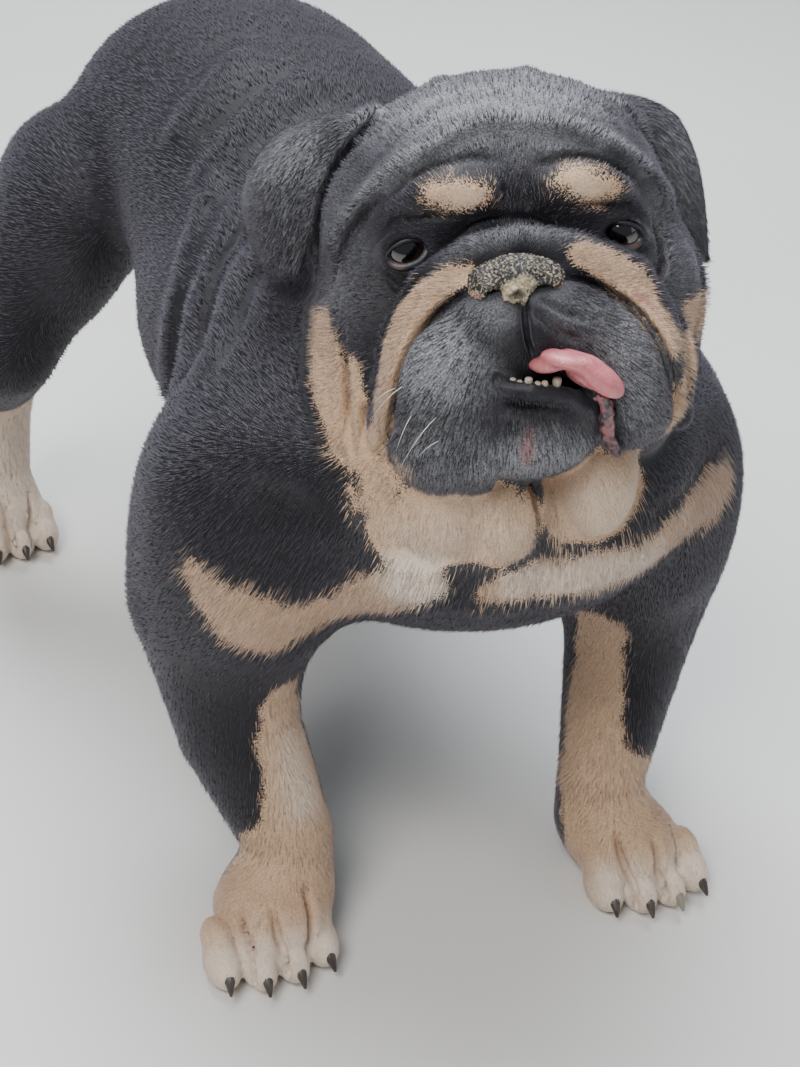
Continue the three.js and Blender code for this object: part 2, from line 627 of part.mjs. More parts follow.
// An ear: a folded flap between a front and a rear edge, cupped towards the head
const EAR = {
  right: {
    front: [[-46, 68, 56], [-60, 54, 60], [-76, 44, 50], [-90, 42, 32], [-97, 44, 8], [-104, 48, -14]],
    rear: [[-76, 102, 36], [-93, 101, 48], [-111, 93, 43], [-125, 80, 23], [-124, 68, 2], [-115, 58, -16]],
  },
  left: {
    front: [[46, 68, 54], [57, 56, 58], [68, 48, 46], [77, 46, 26], [83, 50, 2], [88, 56, -22]],
    rear: [[70, 102, 34], [83, 102, 42], [94, 94, 38], [101, 80, 18], [104, 68, -4], [104, 60, -25]],
  },
  bulge: [0, 5, 9, 9, 6, 3],
  thick: [8, 6, 5, 4.5, 4, 3],
};
function ear(side) {
  const columns = 6;
  const rows = 12;
  const place = (edge) => new THREE.CatmullRomCurve3(edge.map((p) => new THREE.Vector3(...p)));
  const edges = side < 0 ? EAR.right : EAR.left;
  const [front, rear] = [place(edges.front), place(edges.rear)];
  const ease = (list, t) => {
    const s = t * (list.length - 1);
    const i = Math.min(Math.floor(s), list.length - 2);
    return list[i] + (list[i + 1] - list[i]) * (s - i);
  };
  const middle = [];
  for (let r = 0; r < rows; r++) {
    const t = r / (rows - 1);
    const a = front.getPoint(t).toArray();
    const b = rear.getPoint(t).toArray();
    for (let c = 0; c < columns; c++) {
      const s = c / (columns - 1);
      const bow = 4 * s * (1 - s) * ease(EAR.bulge, t);
      middle.push(add(mix(a, b, s), mul(unit([side * 0.75, -0.35, 0.55 * (1 - t)]), bow)));
    }
  }
  const at = (r, c) => middle[clamp(r, 0, rows - 1) * columns + clamp(c, 0, columns - 1)];
  const outer = [];
  const inner = [];
  for (let r = 0; r < rows; r++) {
    for (let c = 0; c < columns; c++) {
      const n = unit(cross(sub(at(r + 1, c), at(r - 1, c)), sub(at(r, c + 1), at(r, c - 1))));
      const rim = c === 0 || c === columns - 1 || r === rows - 1 ? 0.55 : 1;
      const thick = (ease(EAR.thick, r / (rows - 1)) * rim) / 2;
      outer.push(add(at(r, c), mul(n, -side * thick)));
      inner.push(add(at(r, c), mul(n, side * thick)));
    }
  }
  const faces = [];
  const count = rows * columns;
  const quad = (a, b, c, d) => faces.push(a, b, c, a, c, d);
  for (let r = 0; r < rows - 1; r++) {
    for (let c = 0; c < columns - 1; c++) {
      const a = r * columns + c;
      quad(a, a + columns, a + columns + 1, a + 1);
      quad(count + a, count + a + 1, count + a + columns + 1, count + a + columns);
    }
    const left = r * columns;
    const right = left + columns - 1;
    quad(left, count + left, count + left + columns, left + columns);
    quad(right, right + columns, count + right + columns, count + right);
  }
  for (let c = 0; c < columns - 1; c++) {
    const end = (rows - 1) * columns + c;
    quad(c, c + 1, count + c + 1, count + c);
    quad(end, count + end, count + end + 1, end + 1);
  }
  return solid([...outer, ...inner].flatMap(fromHead), side < 0 ? faces : faces.reverse());
}

// Assembly
const colours = {
  coat: 0x2a2a30,
  tan: 0xc49a72,
  horn: 0x3b332e,
  eye: 0x1d120c,
  nose: 0x17161a,
  tongue: 0xd9707a,
};
const dog = new THREE.Group();
function place(name, made, colour, roughness = 0.85) {
  const mesh = made.getMesh();
  const geometry = new THREE.BufferGeometry();
  geometry.setAttribute("position", new THREE.BufferAttribute(new Float32Array(mesh.vertProperties), 3));
  geometry.setIndex(new THREE.BufferAttribute(mesh.triVerts, 1));
  const node = new THREE.Mesh(geometry, new THREE.MeshStandardMaterial({ color: colour, roughness, metalness: 0 }));
  node.name = name;
  dog.add(node);
}

const headGrid = [
  lines([-150, -72, 7], [-72, 72, 5.6], [72, 150, 7]),
  lines([-110, 30, 5.6], [30, 190, 9]),
  lines([270, 450, 5.6], [450, 540, 8]),
];
const eyes = both.map((side) => {
  const geometry = new THREE.IcosahedronGeometry(EYE.radius, 2);
  geometry.translate(...fromHead(eyeAt(side)));
  return solidOf(geometry);
});
const openings = both.map((side) => {
  const geometry = new THREE.IcosahedronGeometry(1, 2);
  geometry.scale(...EYE.opening);
  geometry.translate(side * EYE.x, EYE.y - EYE.radius - 3, EYE.z);
  const turn = new THREE.Matrix4().makeBasis(...headAxes.map((axis) => new THREE.Vector3(...axis)));
  geometry.applyMatrix4(turn).translate(...HEAD.at);
  return solidOf(geometry);
});
const headBox = (low, high, cell) => {
  const corners = CORNERS.map((c) => fromHead(low.map((v, i) => (c[i] ? high[i] : v))));
  return [0, 1, 2].map((i) => {
    const values = corners.map((p) => p[i]);
    return lines([Math.min(...values), Math.max(...values), cell]);
  });
};
const nose = largest(polygonise(inHead(noseField), headBox([-34, -62, -26], [24, -10, 12], 3.4), 1));
const neckGrid = [lines([-140, 150, 12]), lines([-110, 220, 12]), lines([190, 460, 12])];
const neck = beyond(polygonise(headOnNeck, neckGrid, 5), skullCut, flip(neckCut));
const headWhole = beyond(polygonise(headOnNeck, headGrid, 2.2), flip(skullCut));
const head = largest(
  [...eyes, nose].reduce((a, b) => a.subtract(grown(b)), headWhole).subtract(openings[0]).subtract(openings[1]),
);
const jawWhole = polygonise(inHead(jawField), headBox([-50, -80, -118], [50, 30, -38], 5.5), 2.5);
const jaw = without(largest(lowerTeeth().reduce((a, b) => a.add(b), jawWhole)), head, neck);
const tongueBox = headBox([-16, -84, -70], [48, -24, -30], 3.6);
const tongue = without(polygonise(inHead(tongueField), tongueBox, 1), jaw, head);
const torsoWhole = body([-210, -90, 120], [210, 520, 440], 14, 9);
const legs = {
  foreleg_right: foreleg(FORE.right),
  foreleg_left: foreleg(FORE.left),
  hindleg_right: hindleg(HIND.right),
  hindleg_left: hindleg(HIND.left),
};
const torso = largest(
  [
    grown(neck),
    grown(head),
    grown(jaw),
    block(...foreCut(-1), -GAP / 2).subtract(block(...waist, GAP / 2)),
    block(...foreCut(1), -GAP / 2).subtract(block(...waist, GAP / 2)),
    block(...hipCut(HIND.right), -GAP / 2).subtract(block(...flip(waist), GAP / 2)),
    block(...hipCut(HIND.left), -GAP / 2).subtract(block(...flip(waist), GAP / 2)),
  ].reduce((a, b) => a.subtract(b), torsoWhole),
);
const tailGrid = [lines([-90, 20, 6]), lines([440, 540, 6]), lines([250, 360, 6])];
const tail = without(polygonise(tailField, tailGrid, 1.5), torso);
const dewlap = without(
  polygonise(inHead(dewlapField), headBox([-102, -46, -166], [80, 76, -66], 8), 3.8),
  head,
  jaw,
  neck,
  torso,
);

place("head", head, colours.coat);
place("lower_jaw", jaw, colours.coat);
place("dewlap", dewlap, colours.tan);
place("neck", neck, colours.coat);
place("torso", torso, colours.coat);
place("tail", tail, colours.coat);
place("nose", nose, colours.nose, 0.6);
place("tongue", tongue, colours.tongue, 0.35);
both.forEach((side, n) => {
  const name = side < 0 ? "right" : "left";
  place("eye_" + name, eyes[n], colours.eye, 0.1);
  place("ear_" + name, without(ear(side), head, neck), colours.coat);
});
for (const [name, { claws: nails, ...parts }] of Object.entries(legs)) {
  for (const [part, made] of Object.entries(parts)) {
    const cut = part === "paw" ? largest(nails.reduce((a, b) => a.subtract(grown(b)), made)) : made;
    place(name + "_" + part, cut, part === "paw" ? colours.tan : colours.coat);
  }
  nails.forEach((nail, n) => place(name + "_claw_" + (n + 1), nail, colours.horn, 0.5));
}

// The origin is on the floor, under the middle of the whole model's box
const box = new THREE.Box3().setFromObject(dog);
const middle = box.getCenter(new THREE.Vector3());
dog.children.forEach((node) => node.geometry.translate(-middle.x, -middle.y, 0));

export default dog;
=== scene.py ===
"""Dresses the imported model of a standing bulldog: one skin with its folds and lids, a short coat, eyes,
nose, tongue, teeth, claws and whiskers, on a plain floor under soft light."""

import itertools
import json
import math

import bmesh
import bpy
import numpy as np
from mathutils import Matrix, Vector
from mathutils.bvhtree import BVHTree

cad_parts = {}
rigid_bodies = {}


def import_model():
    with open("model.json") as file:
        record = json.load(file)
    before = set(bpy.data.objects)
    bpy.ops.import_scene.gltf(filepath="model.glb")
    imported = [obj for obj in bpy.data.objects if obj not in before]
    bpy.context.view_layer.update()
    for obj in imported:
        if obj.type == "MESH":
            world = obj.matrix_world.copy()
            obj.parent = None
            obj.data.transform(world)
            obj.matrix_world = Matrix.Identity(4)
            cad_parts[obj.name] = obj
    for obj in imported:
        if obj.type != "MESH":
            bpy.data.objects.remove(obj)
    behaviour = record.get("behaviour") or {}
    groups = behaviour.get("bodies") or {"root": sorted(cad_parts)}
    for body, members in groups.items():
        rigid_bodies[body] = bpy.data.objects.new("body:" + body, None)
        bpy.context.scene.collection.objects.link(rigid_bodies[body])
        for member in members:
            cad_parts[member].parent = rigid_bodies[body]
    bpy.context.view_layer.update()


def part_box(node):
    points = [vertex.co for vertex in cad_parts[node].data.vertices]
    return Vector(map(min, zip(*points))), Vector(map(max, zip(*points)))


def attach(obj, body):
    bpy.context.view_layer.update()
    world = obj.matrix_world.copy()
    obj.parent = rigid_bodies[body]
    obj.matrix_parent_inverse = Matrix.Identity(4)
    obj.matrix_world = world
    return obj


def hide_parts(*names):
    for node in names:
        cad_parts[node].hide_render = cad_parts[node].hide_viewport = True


bl_info = {
    "name": "Bulldog model",
    "version": (1, 0, 0),
    "blender": (4, 5, 0),
    "location": "View3D > Sidebar > Bulldog",
    "description": "Skin, coat, eyes, nose, mouth and claws of a life-size bulldog model",
    "category": "Add Mesh",
}

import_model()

# The solids' own sizes, in millimetres and degrees: +X is the dog's left, -Y is ahead of it, +Z is up
HEAD_AT = np.array([-15.0, -4.0, 418.0], np.float32)
HEAD_TURN = {"yaw": -19.0, "pitch": 14.0, "roll": -7.6}
EYE = {"x": 51.5, "y": 9.0, "z": 1.5, "radius": 12.5, "lid": 3.6}
# The opening between the lids: half its width, depth and height, and how far it leans
OPENING = (9.8, 9.0, 6.8)
OPENING_TILT = 13.0
NOSE = {"x": -5.0, "y": -34.0, "z": -8.0, "width": 43.0, "height": 23.0}
SHOULDER_Y = 60.0
HIP_Y = 396.0
TAIL_AT = (-30.0, 472.0, 338.0)
TAIL_TIP = (-36.0, 498.0, 304.0)
PAW = {"width": 78.0, "height": 52.0, "toe": (11.5, 19.0, 14.0)}
FORE = {
    "right": {"shoulder": (-122, 238), "elbow": (-133, 70, 188), "arm": (-127, 44, 118),
              "wrist": (-106, 14, 58), "paw": (-128, -12)},
    "left": {"shoulder": (111, 226), "elbow": (133, 66, 176), "arm": (114, 40, 110),
             "wrist": (93, 10, 56), "paw": (105, -22)},
}
HIND = {
    "right": {"thigh": -138, "knee": (-184, 374, 196), "hock": (-170, 478, 112), "paw": (-178, 442)},
    "left": {"thigh": 58, "knee": (102, 366, 194), "hock": (98, 462, 110), "paw": (98, 426)},
}
SIDES = ("right", "left")
TOE_SPREAD = (-1.5, -0.5, 0.5, 1.5)
BOTH = (-1, 1)
FAR = 400.0
REAL = np.float32
# The camera, in degrees and millimetres, its focal length in pixels, and the picture's size
CAMERA = {"azimuth": -25.0, "elevation": 32.5, "roll": 5.3, "distance": 1000.0,
          "target": (-50.0, 20.0, 246.0)}
FOCAL_PIXELS = 1900.0
PICTURE = (800, 1067)
# The triangles of the skin, and the number that no piece may reach
SKIN_TRIANGLES = 196000
MOST_TRIANGLES = 200000


def turn_matrix(*turns):
    made = Matrix.Identity(3)
    for axis, angle in turns:
        made = made @ Matrix.Rotation(math.radians(angle), 3, axis)
    return np.array(made, REAL)


HEAD_AXES = turn_matrix(("Z", HEAD_TURN["yaw"]), ("X", -HEAD_TURN["pitch"]), ("Y", HEAD_TURN["roll"]))


def to_head(points):
    return (np.asarray(points, REAL) - HEAD_AT) @ HEAD_AXES


def from_head(points):
    return np.asarray(points, REAL) @ HEAD_AXES.T + HEAD_AT


def frame_shift():
    """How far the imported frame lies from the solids' own, read from the two eyes."""
    corners = [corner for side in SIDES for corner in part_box("eye_" + side)]
    middle = sum((np.array(corner) for corner in corners)) / len(corners)
    return middle * 1000 - from_head([0, EYE["y"], EYE["z"]])


SHIFT = frame_shift()


def to_row(points):
    return (np.asarray(points, float) + SHIFT) / 1000


# Forms: a distance that is negative inside, worked out for many points at once
def rows_in(points, low, high, margin):
    """The rows of the points in a box grown by a margin."""
    return np.nonzero(((points > low - margin) & (points < high + margin)).all(1))[0]


class Form:
    """A rounded form: its distance, the box that holds it, and the width over which it melts into others."""

    def __init__(self, distance, low, high, soft, carve=False):
        self.distance = distance
        self.low = np.asarray(low, REAL)
        self.high = np.asarray(high, REAL)
        self.soft = soft
        self.carve = carve

    def near(self, points, margin):
        return rows_in(points, self.low, self.high, margin)


def ball(at, radii, soft=12.0, *turns):
    at = np.array(at, REAL)
    radii = np.array(radii, REAL)
    axes = turn_matrix(*turns) if turns else None

    def distance(points):
        d = points - at
        if axes is not None:
            d = d @ axes
        near = np.sqrt(((d / radii) ** 2).sum(1))
        slope = np.sqrt(((d / radii**2) ** 2).sum(1))
        return np.where(slope > 1e-6, near * (near - 1) / np.maximum(slope, 1e-6), -radii.min())

    reach = radii if axes is None else radii.max()
    return Form(distance, at - reach, at + reach, soft)


def chain(points, soft=12.0):
    knots = np.array(points, REAL)

    def distance(p):
        best = np.full(len(p), FAR, REAL)
        for a, b in zip(knots[:-1], knots[1:]):
            along = b[:3] - a[:3]
            t = np.clip((p - a[:3]) @ along / (along @ along), 0, 1)
            away = np.linalg.norm(p - a[:3] - t[:, None] * along, axis=1)
            best = np.minimum(best, away - a[3] - t * (b[3] - a[3]))
        return best

    thick = knots[:, 3].max()
    return Form(distance, knots[:, :3].min(0) - thick, knots[:, :3].max(0) + thick, soft)


def hollow(form):
    return Form(form.distance, form.low, form.high, form.soft, True)


def melt(a, b, soft):
    near = np.maximum(soft - np.abs(a - b), 0)
    return np.minimum(a, b) - near**2 / (4 * soft)


def join(d, form, points, margin):
    """Melts a form into the field's values near it, or carves it out of them."""
    rows = form.near(points, margin)
    if len(rows):
        e = form.distance(points[rows])
        d[rows] = -melt(-d[rows], e, form.soft) if form.carve else melt(d[rows], e, form.soft)


def blend(forms, points, margin=60.0):
    d = np.full(len(points), FAR, REAL)
    for form in forms:
        join(d, form, points, margin)
    return d


def slope_of(field, points, step=0.35):
    """The field at each point, and how it rises along each axis."""
    here = field(points)
    slope = np.empty_like(points)
    for axis in range(3):
        ahead = points.copy()
        ahead[:, axis] += step
        slope[:, axis] = (field(ahead) - here) / step
    return here, slope


def settle_on(field, line):
    """A line's points drawn onto the surface, and the way out of the surface at each."""
    laid = np.array(line, REAL)
    for _ in range(8):
        here, slope = slope_of(field, laid)
        laid = laid - (here / np.maximum((slope**2).sum(1), 0.25))[:, None] * slope
    return laid, slope / np.linalg.norm(slope, axis=1)[:, None]


class Fold:
    """A raised roll or a shallow furrow along a line on the surface."""

    REACH = 20

    def __init__(self, line, width, height):
        self.path = chain([[*point, 0] for point in line])
        self.width = width
        self.height = height

    def work(self, d, points):
        rows = self.path.near(points, 2.6 * self.width)
        rows = rows[np.abs(d[rows]) < self.REACH]
        if len(rows):
            away = self.path.distance(points[rows])
            d[rows] -= self.height * np.exp(-((away / self.width) ** 2))


class Crease:
    """A deep furrow: a blade laid along a line and sunk into the surface, fading at its ends."""

    LAYERS = (0.0, 0.35, 0.7, 1.0)
    SOFT = 2.6
    REACH = 16

    def __init__(self, field, line, width, depth, lean=(0, 0, 0)):
        laid, out = settle_on(field, curve_points(line, 2 * len(line)))
        t = np.linspace(0, 1, len(laid))
        taper = 0.25 + 0.75 * smooth_step(0, 0.2, t) * smooth_step(1, 0.8, t)
        sink = np.array(lean, REAL) - out
        sink /= np.linalg.norm(sink, axis=1)[:, None]
        self.layers = []
        for share in self.LAYERS:
            place = laid + sink * (depth * share * taper)[:, None]
            radius = width / 2 * (1 - 0.6 * share) * taper
            self.layers.append(chain(np.column_stack([place, radius])))
        self.low = np.min([layer.low for layer in self.layers], axis=0)
        self.high = np.max([layer.high for layer in self.layers], axis=0)

    def work(self, d, points):
        rows = rows_in(points, self.low, self.high, self.SOFT)
        rows = rows[np.abs(d[rows]) < self.REACH]
        if len(rows):
            away = np.min([layer.distance(points[rows]) for layer in self.layers], axis=0)
            d[rows] = -melt(-d[rows], away, self.SOFT)


def fold(d, points, lines):
    """The field's values with folds or creases worked in."""
    for line in lines:
        line.work(d, points)
    return d


def smooth_step(low, high, value):
    t = np.clip((value - low) / (high - low), 0, 1)
    return t * t * (3 - 2 * t)


def curve_points(knots, count):
    """A centripetal Catmull-Rom curve through the knots, as evenly numbered points."""
    p = np.array(knots, float)
    p = np.vstack([2 * p[0] - p[1], p, 2 * p[-1] - p[-2]])
    out = []
    for u in np.linspace(0, len(knots) - 1, count):
        i = min(int(u), len(knots) - 2)
        t = u - i
        x0, x1, x2, x3 = p[i : i + 4]
        d0, d1, d2 = [math.sqrt(np.linalg.norm(b - a)) for a, b in ((x0, x1), (x1, x2), (x2, x3))]
        m1 = ((x1 - x0) / d0 - (x2 - x0) / (d0 + d1) + (x2 - x1) / d1) * d1
        m2 = ((x2 - x1) / d1 - (x3 - x1) / (d1 + d2) + (x3 - x2) / d2) * d1
        out.append(x1 + m1 * t + (-3 * x1 + 3 * x2 - 2 * m1 - m2) * t**2 + (2 * x1 - 2 * x2 + m1 + m2) * t**3)
    return np.array(out)


# The head's forms, in its own frame: the origin lies midway between the eyes and -Y runs out of the face
def eye_at(side):
    return (side * EYE["x"], EYE["y"], EYE["z"])


NOSE_ROLL = [
    (-68, -16, -88, 9), (-62, -20, -62, 12), (-57, -20, -38, 13), (-44, -22, -13, 12.5), (-22, -27, 2, 11),
    (-2, -29, 6, 10), (24, -27, 0, 11), (50, -22, -15, 12.5), (63, -20, -40, 13), (70, -18, -64, 12),
    (73, -14, -86, 9),
]
MOUTH_LINE = [(-18, -68, -46.5, 2.4), (-2, -66, -47, 3.4), (14, -62, -52, 6), (28, -58, -64, 6),
              (36, -50, -84, 4)]
LID_RADIUS = EYE["radius"] + EYE["lid"]
HEAD_FORMS = [
    ball([0, 62, 10], [88, 72, 66], 10),
    ball([0, 22, 22], [72, 34, 42], 14),
    *[ball([side * 33, 2, 24], [24, 18, 17], 14) for side in BOTH],
    ball([-63, 45, -50], [38, 52, 60], 20),
    ball([60, 45, -48], [38, 52, 60], 20),
    ball([-77, 32, -86], [28, 42, 42], 16),
    ball([56, 30, -78], [28, 42, 42], 16),
    ball([-70, 60, 14], [29, 38, 36], 14),
    ball([-3, 60, -60], [78, 60, 52], 20),
    ball([0, -16, -34], [60, 42, 38], 16),
    ball([-38, -28, -70], [36, 34, 45], 12),
    ball([43, -26, -58], [37, 34, 40], 12),
    ball([-4, -48, -27], [26, 14, 14], 8),
    ball([-27, -44, -82], [15, 17, 24], 9),
    ball([-40, -42, -52], [24, 18, 26], 10),
    chain(NOSE_ROLL, 7),
    *[ball(eye_at(side), [LID_RADIUS] * 3, 5) for side in BOTH],
    ball([78, 42, -32], [18, 34, 28], 12),
    hollow(ball([5, -36, -86], [26, 40, 34], 7)),
    hollow(chain(MOUTH_LINE, 3)),
]
# Rolls and shallow furrows of the face: a line, its width and its height
FACE_FOLDS = [
    ([(-84, 26, 4), (-76, 17, 16), (-65, 7, 31), (-53, 2, 43), (-37, 0, 52), (-22, 2, 58), (-7, 2, 60)], 6.5,
     3.4),
    ([(-7, 2, 60), (8, 0, 57), (23, 1, 56), (38, 1, 52), (53, 1, 43), (67, 6, 31), (80, 24, 14)], 6.5, 3.4),
    ([(-60, 12, 50), (-38, 18, 60), (-25, 21, 66), (-10, 18, 68), (3, 10, 65), (18, 9, 63), (33, 6, 59),
      (52, 12, 52)], 5, 2.2),
    ([(-70, 38, 52), (-44, 36, 68), (-20, 40, 75), (8, 34, 74), (36, 28, 68), (62, 32, 54)], 6, 2.2),
    ([(-44, -11, 29), (-29, -14, 31), (-16, -14, 29)], 8, 3.2),
    ([(20, -15, 27), (33, -14, 30), (47, -9, 26)], 8, 3.2),
    ([(0, -1, 51), (0, -7, 39), (0, -10, 26), (-2, -11, 17)], 7, -4.2),
    ([(-70, 14, 13), (-60, 1, 28), (-47, -4, 39), (-33, -4, 46), (-19, -1, 52), (-7, 0, 55), (6, -2, 52),
      (21, -2, 51), (35, -4, 46), (50, -6, 37), (62, -1, 27), (73, 9, 14)], 4.2, -4.0),
    ([(-72, -4, -50), (-76, -12, -66), (-77, -16, -82)], 6, 2.0),
    ([(-60, -8, -12), (-50, -24, -10), (-42, -28, -4)], 4.5, -2.0),
    ([(-12, -58, -22), (-22, -57, -27), (-34, -54, -34)], 4.5, -1.2),
    ([(-12, -60, -30), (-26, -60, -38), (-38, -58, -52)], 3.0, -1.0),
    ([(-45, -30, -112), (-36, -42, -98), (-28, -44, -86)], 4.0, -2.0),
    ([(-30, 58, 80), (-28, 72, 82), (-25, 84, 80)], 6, 2),
    ([(18, 58, 78), (20, 74, 80), (22, 86, 78)], 6, 2),
    ([(-96, 30, -30), (-101, 26, -50), (-99, 14, -68), (-94, 2, -86)], 7, 2.4),
]
# Deep furrows: a line, the width at the top, the depth, and how far the furrow runs under its upper side
FACE_CREASES = [
    ([(-22, -45, -8), (-33, -40, -17), (-43, -41, -22), (-52, -41, -30), (-59, -44, -40), (-64, -46, -53),
      (-68, -46, -65), (-72, -37, -81), (-76, -19, -96)], 4.2, 11, (-0.5, 0, 0.35)),
    ([(12, -45, -6), (23, -40, -11), (35, -41, -17), (45, -44, -24), (53, -49, -35), (59, -53, -48),
      (63, -50, -65),
      (66, -38, -84)], 4.2, 11, (0.5, 0, 0.35)),
    ([(-44, -30, 0), (-54, -27, -8), (-62, -21, -19), (-68, -22, -31), (-72, -22, -43), (-76, -20, -56),
      (-78, -8, -71), (-80, -7, -86)], 3.2, 7, (0.3, 0, -0.2)),
    ([(-84, 10, -24), (-87, 7, -37), (-86, 3, -52), (-86, -1, -67), (-86, -3, -81), (-84, -9, -96)], 3.4, 8,
     (0.2, 0, 0)),
    ([(-60, 1, 31), (-69, 11, 21), (-76, 19, 9), (-82, 20, -3), (-85, 17, -15)], 3.0, 5, (0, 0, 0)),
    ([(-43, -6, -1), (-32, -15, 8), (-19, -16, 14), (-2, -13, 15), (13, -16, 13), (25, -26, 10),
      (38, -26, 4)], 3.6,
     4.2, (0, 0, 0)),
    ([(-58, 46, 56), (-73, 40, 46), (-86, 36, 28), (-93, 38, 6), (-99, 44, -14)], 5, 13, (0.1, 1.2, 0)),
    ([(55, 46, 54), (68, 40, 46), (78, 38, 26), (84, 42, 4), (90, 50, -18)], 5, 13, (-0.1, 1.2, 0)),
    ([(-55, -2, 28), (-41, -5, 40), (-29, -5, 43), (-16, -5, 44), (-6, -8, 39)], 2.8, 4.2, (0, 0, 0)),
    ([(9, -10, 38), (26, -7, 41), (39, -7, 40), (51, -7, 33), (59, -3, 24)], 2.8, 4.2, (0, 0, 0)),
    ([(-6, -10, 30), (-4, -11, 22), (-6, -13, 16)], 2.6, 3.4, (0, 0, 0)),
    ([(6, -10, 36), (4, -11, 26), (6, -13, 16)], 2.6, 3.0, (0, 0, 0)),
    ([(-68, 13, 0), (-64, 2, 10), (-56, -5, 16), (-42, -15, 18), (-30, -16, 18)], 2.4, 3.2,
     (0, 0, 0.3)),
    ([(28, -16, 17), (36, -16, 17), (50, -7, 16), (61, -1, 8), (69, 6, 0)], 2.4, 3.2, (0, 0, 0.3)),
    ([(-67, 2, -8), (-60, -4, -14), (-50, -12, -13), (-43, -20, -6)], 2.2, 3.0, (0, 0, 0)),
    ([(38, -22, -4), (46, -14, -12), (56, -8, -13), (66, 0, -8)], 2.2, 3.0, (0, 0, 0)),
    ([(72, 8, 6), (74, 6, -8), (72, -8, -22), (72, -26, -34), (72, -40, -50), (72, -42, -66),
      (74, -30, -84)], 3.2,
     8, (0.2, 0, 0)),
    ([(84, 30, -20), (88, 20, -40), (88, 8, -60), (82, -6, -80)], 3.0, 6, (0, 0, 0)),
    ([(-4, -56, -13), (-4, -60, -25), (-3, -61, -36), (-1, -63, -45)], 2.6, 6.5, (0, 0, 0)),
    ([(0, -58, -19), (6, -60, -25), (12, -59, -31), (20, -57, -36)], 1.9, 3.0, (0, 0, 0)),
    ([(6, -57, -13), (14, -58, -20), (23, -56, -25)], 1.9, 2.6, (0, 0, 0)),
]
DEWLAP_FOLDS = [
    ([(-66, -18, -100), (-60, -24, -122), (-50, -18, -142)], 6, 2.4),
    ([(-46, -32, -108), (-42, -34, -126), (-36, -26, -148)], 6, 2.2),
    ([(-20, -36, -112), (-17, -36, -130), (-14, -26, -152)], 7, 2.2),
    ([(28, -28, -104), (28, -30, -124), (26, -20, -144)], 6, 2.0),
    ([(-32, -34, -112), (-30, -34, -128), (-27, -28, -144)], 4, -1.8),
]
DEWLAP_CREASES = [
    ([(7, -34, -100), (8, -34, -116), (9, -30, -132), (8, -20, -148)], 5.5, 20, (0, 0, 0)),
]


def face_base(points):
    return blend(HEAD_FORMS, points)


def dewlap_base(points):
    return blend(DEWLAP_FORMS, points)


def settled_folds(field, folds):
    return [Fold(settle_on(field, curve_points(line, 2 * len(line)))[0], width, height)
            for line, width, height in folds]


JAW_FORMS = [
    ball([-2, -34, -82], [34, 28, 23], 8),
    chain([(-27, -44, -58.4, 6), (-14, -56, -55, 5.6), (-3, -59.6, -56, 5.6), (13, -56.6, -60.6, 5.6),
           (26, -45, -72, 6.5)],
          5),
    ball([-4, -44, -72], [24, 16, 12], 7),
    ball([0, -8, -92], [38, 30, 20], 12),
]
DEWLAP_FORMS = [
    ball([-41, -4, -115], [45, 32, 37], 8),
    ball([-12, -12, -126], [21, 24, 28], 10),
    ball([32, -2, -114], [24, 28, 35], 3),
    ball([-68, 12, -110], [25, 32, 36], 12),
    ball([-4, 30, -112], [70, 34, 34], 14),
]
NOSE_FORMS = [
    ball([NOSE["x"], NOSE["y"] - 2, NOSE["z"]], [NOSE["width"] / 2, 15, NOSE["height"] / 2], 6),
    ball([NOSE["x"], NOSE["y"] - 8, NOSE["z"] - 1], [12, 10, 11], 6),
    *[ball([NOSE["x"] + side * 14, NOSE["y"] - 5, NOSE["z"] - 3], [8.5, 11, 9], 4) for side in BOTH],
    *[hollow(ball([NOSE["x"] + side * 10.5, NOSE["y"] - 17, NOSE["z"] - 6], [4.6, 9, 3.6], 2,
                  ("Y", -25 * side)))
      for side in BOTH],
]
# The lower front teeth: place across, height, half width and how far the tip leans
TEETH = [
    (-14.2, 2.0, 1.2, -0.6), (-11.4, 3.4, 1.6, 0.6), (-7.9, 2.3, 1.5, -0.5), (-4.4, 3.9, 1.9, 0.3),
    (-0.6, 2.2, 1.5, 0.6), (3.3, 3.0, 1.6, -0.4), (8.6, 4.9, 2.2, 0.6),
]
TONGUE_FORMS = [
    ball([4, -49, -45], [8, 17, 4.0], 4),
    ball([14, -62, -42], [12.5, 12, 4.4], 5, ("Y", 14)),
    ball([28, -67, -51], [12.5, 8, 6.2], 6, ("Y", 42)),
    ball([21, -59, -52], [9, 9, 3.6], 2, ("Y", 30)),
]


# The body's forms, in the solids' frame
def mixed(a, b, t):
    return [u + (v - u) * t for u, v in zip(a, b)]


def toe_at(paw, i):
    return [paw[0] + i * PAW["width"] / 4.1, paw[1] - 27 + abs(i) * 7, PAW["toe"][2] - 2]


def paw_forms(paw, above):
    forms = [ball([mixed(paw, above, 0.35)[0], paw[1] + 6, 23],
                  [PAW["width"] / 2 - 5, 37, PAW["height"] / 2], 14)]
    for i in TOE_SPREAD:
        toe = toe_at(paw, i)
        forms.append(ball(toe, PAW["toe"], 2.5))
        forms.append(ball([toe[0], toe[1] + 10, toe[2] + 9], [10.2, 15, 12], 2.5))
    return forms


def fore_forms(leg):
    x, z = leg["shoulder"]
    elbow, arm, wrist = leg["elbow"], leg["arm"], leg["wrist"]
    limb = [(x, 56, z + 14, 52), (*elbow, 48), (*arm, 36), (*wrist, 27), (wrist[0], wrist[1] - 4, 30, 28)]
    return [ball([x, SHOULDER_Y, z], [56, 72, 88], 30), chain(limb, 26), *paw_forms(leg["paw"], wrist)]


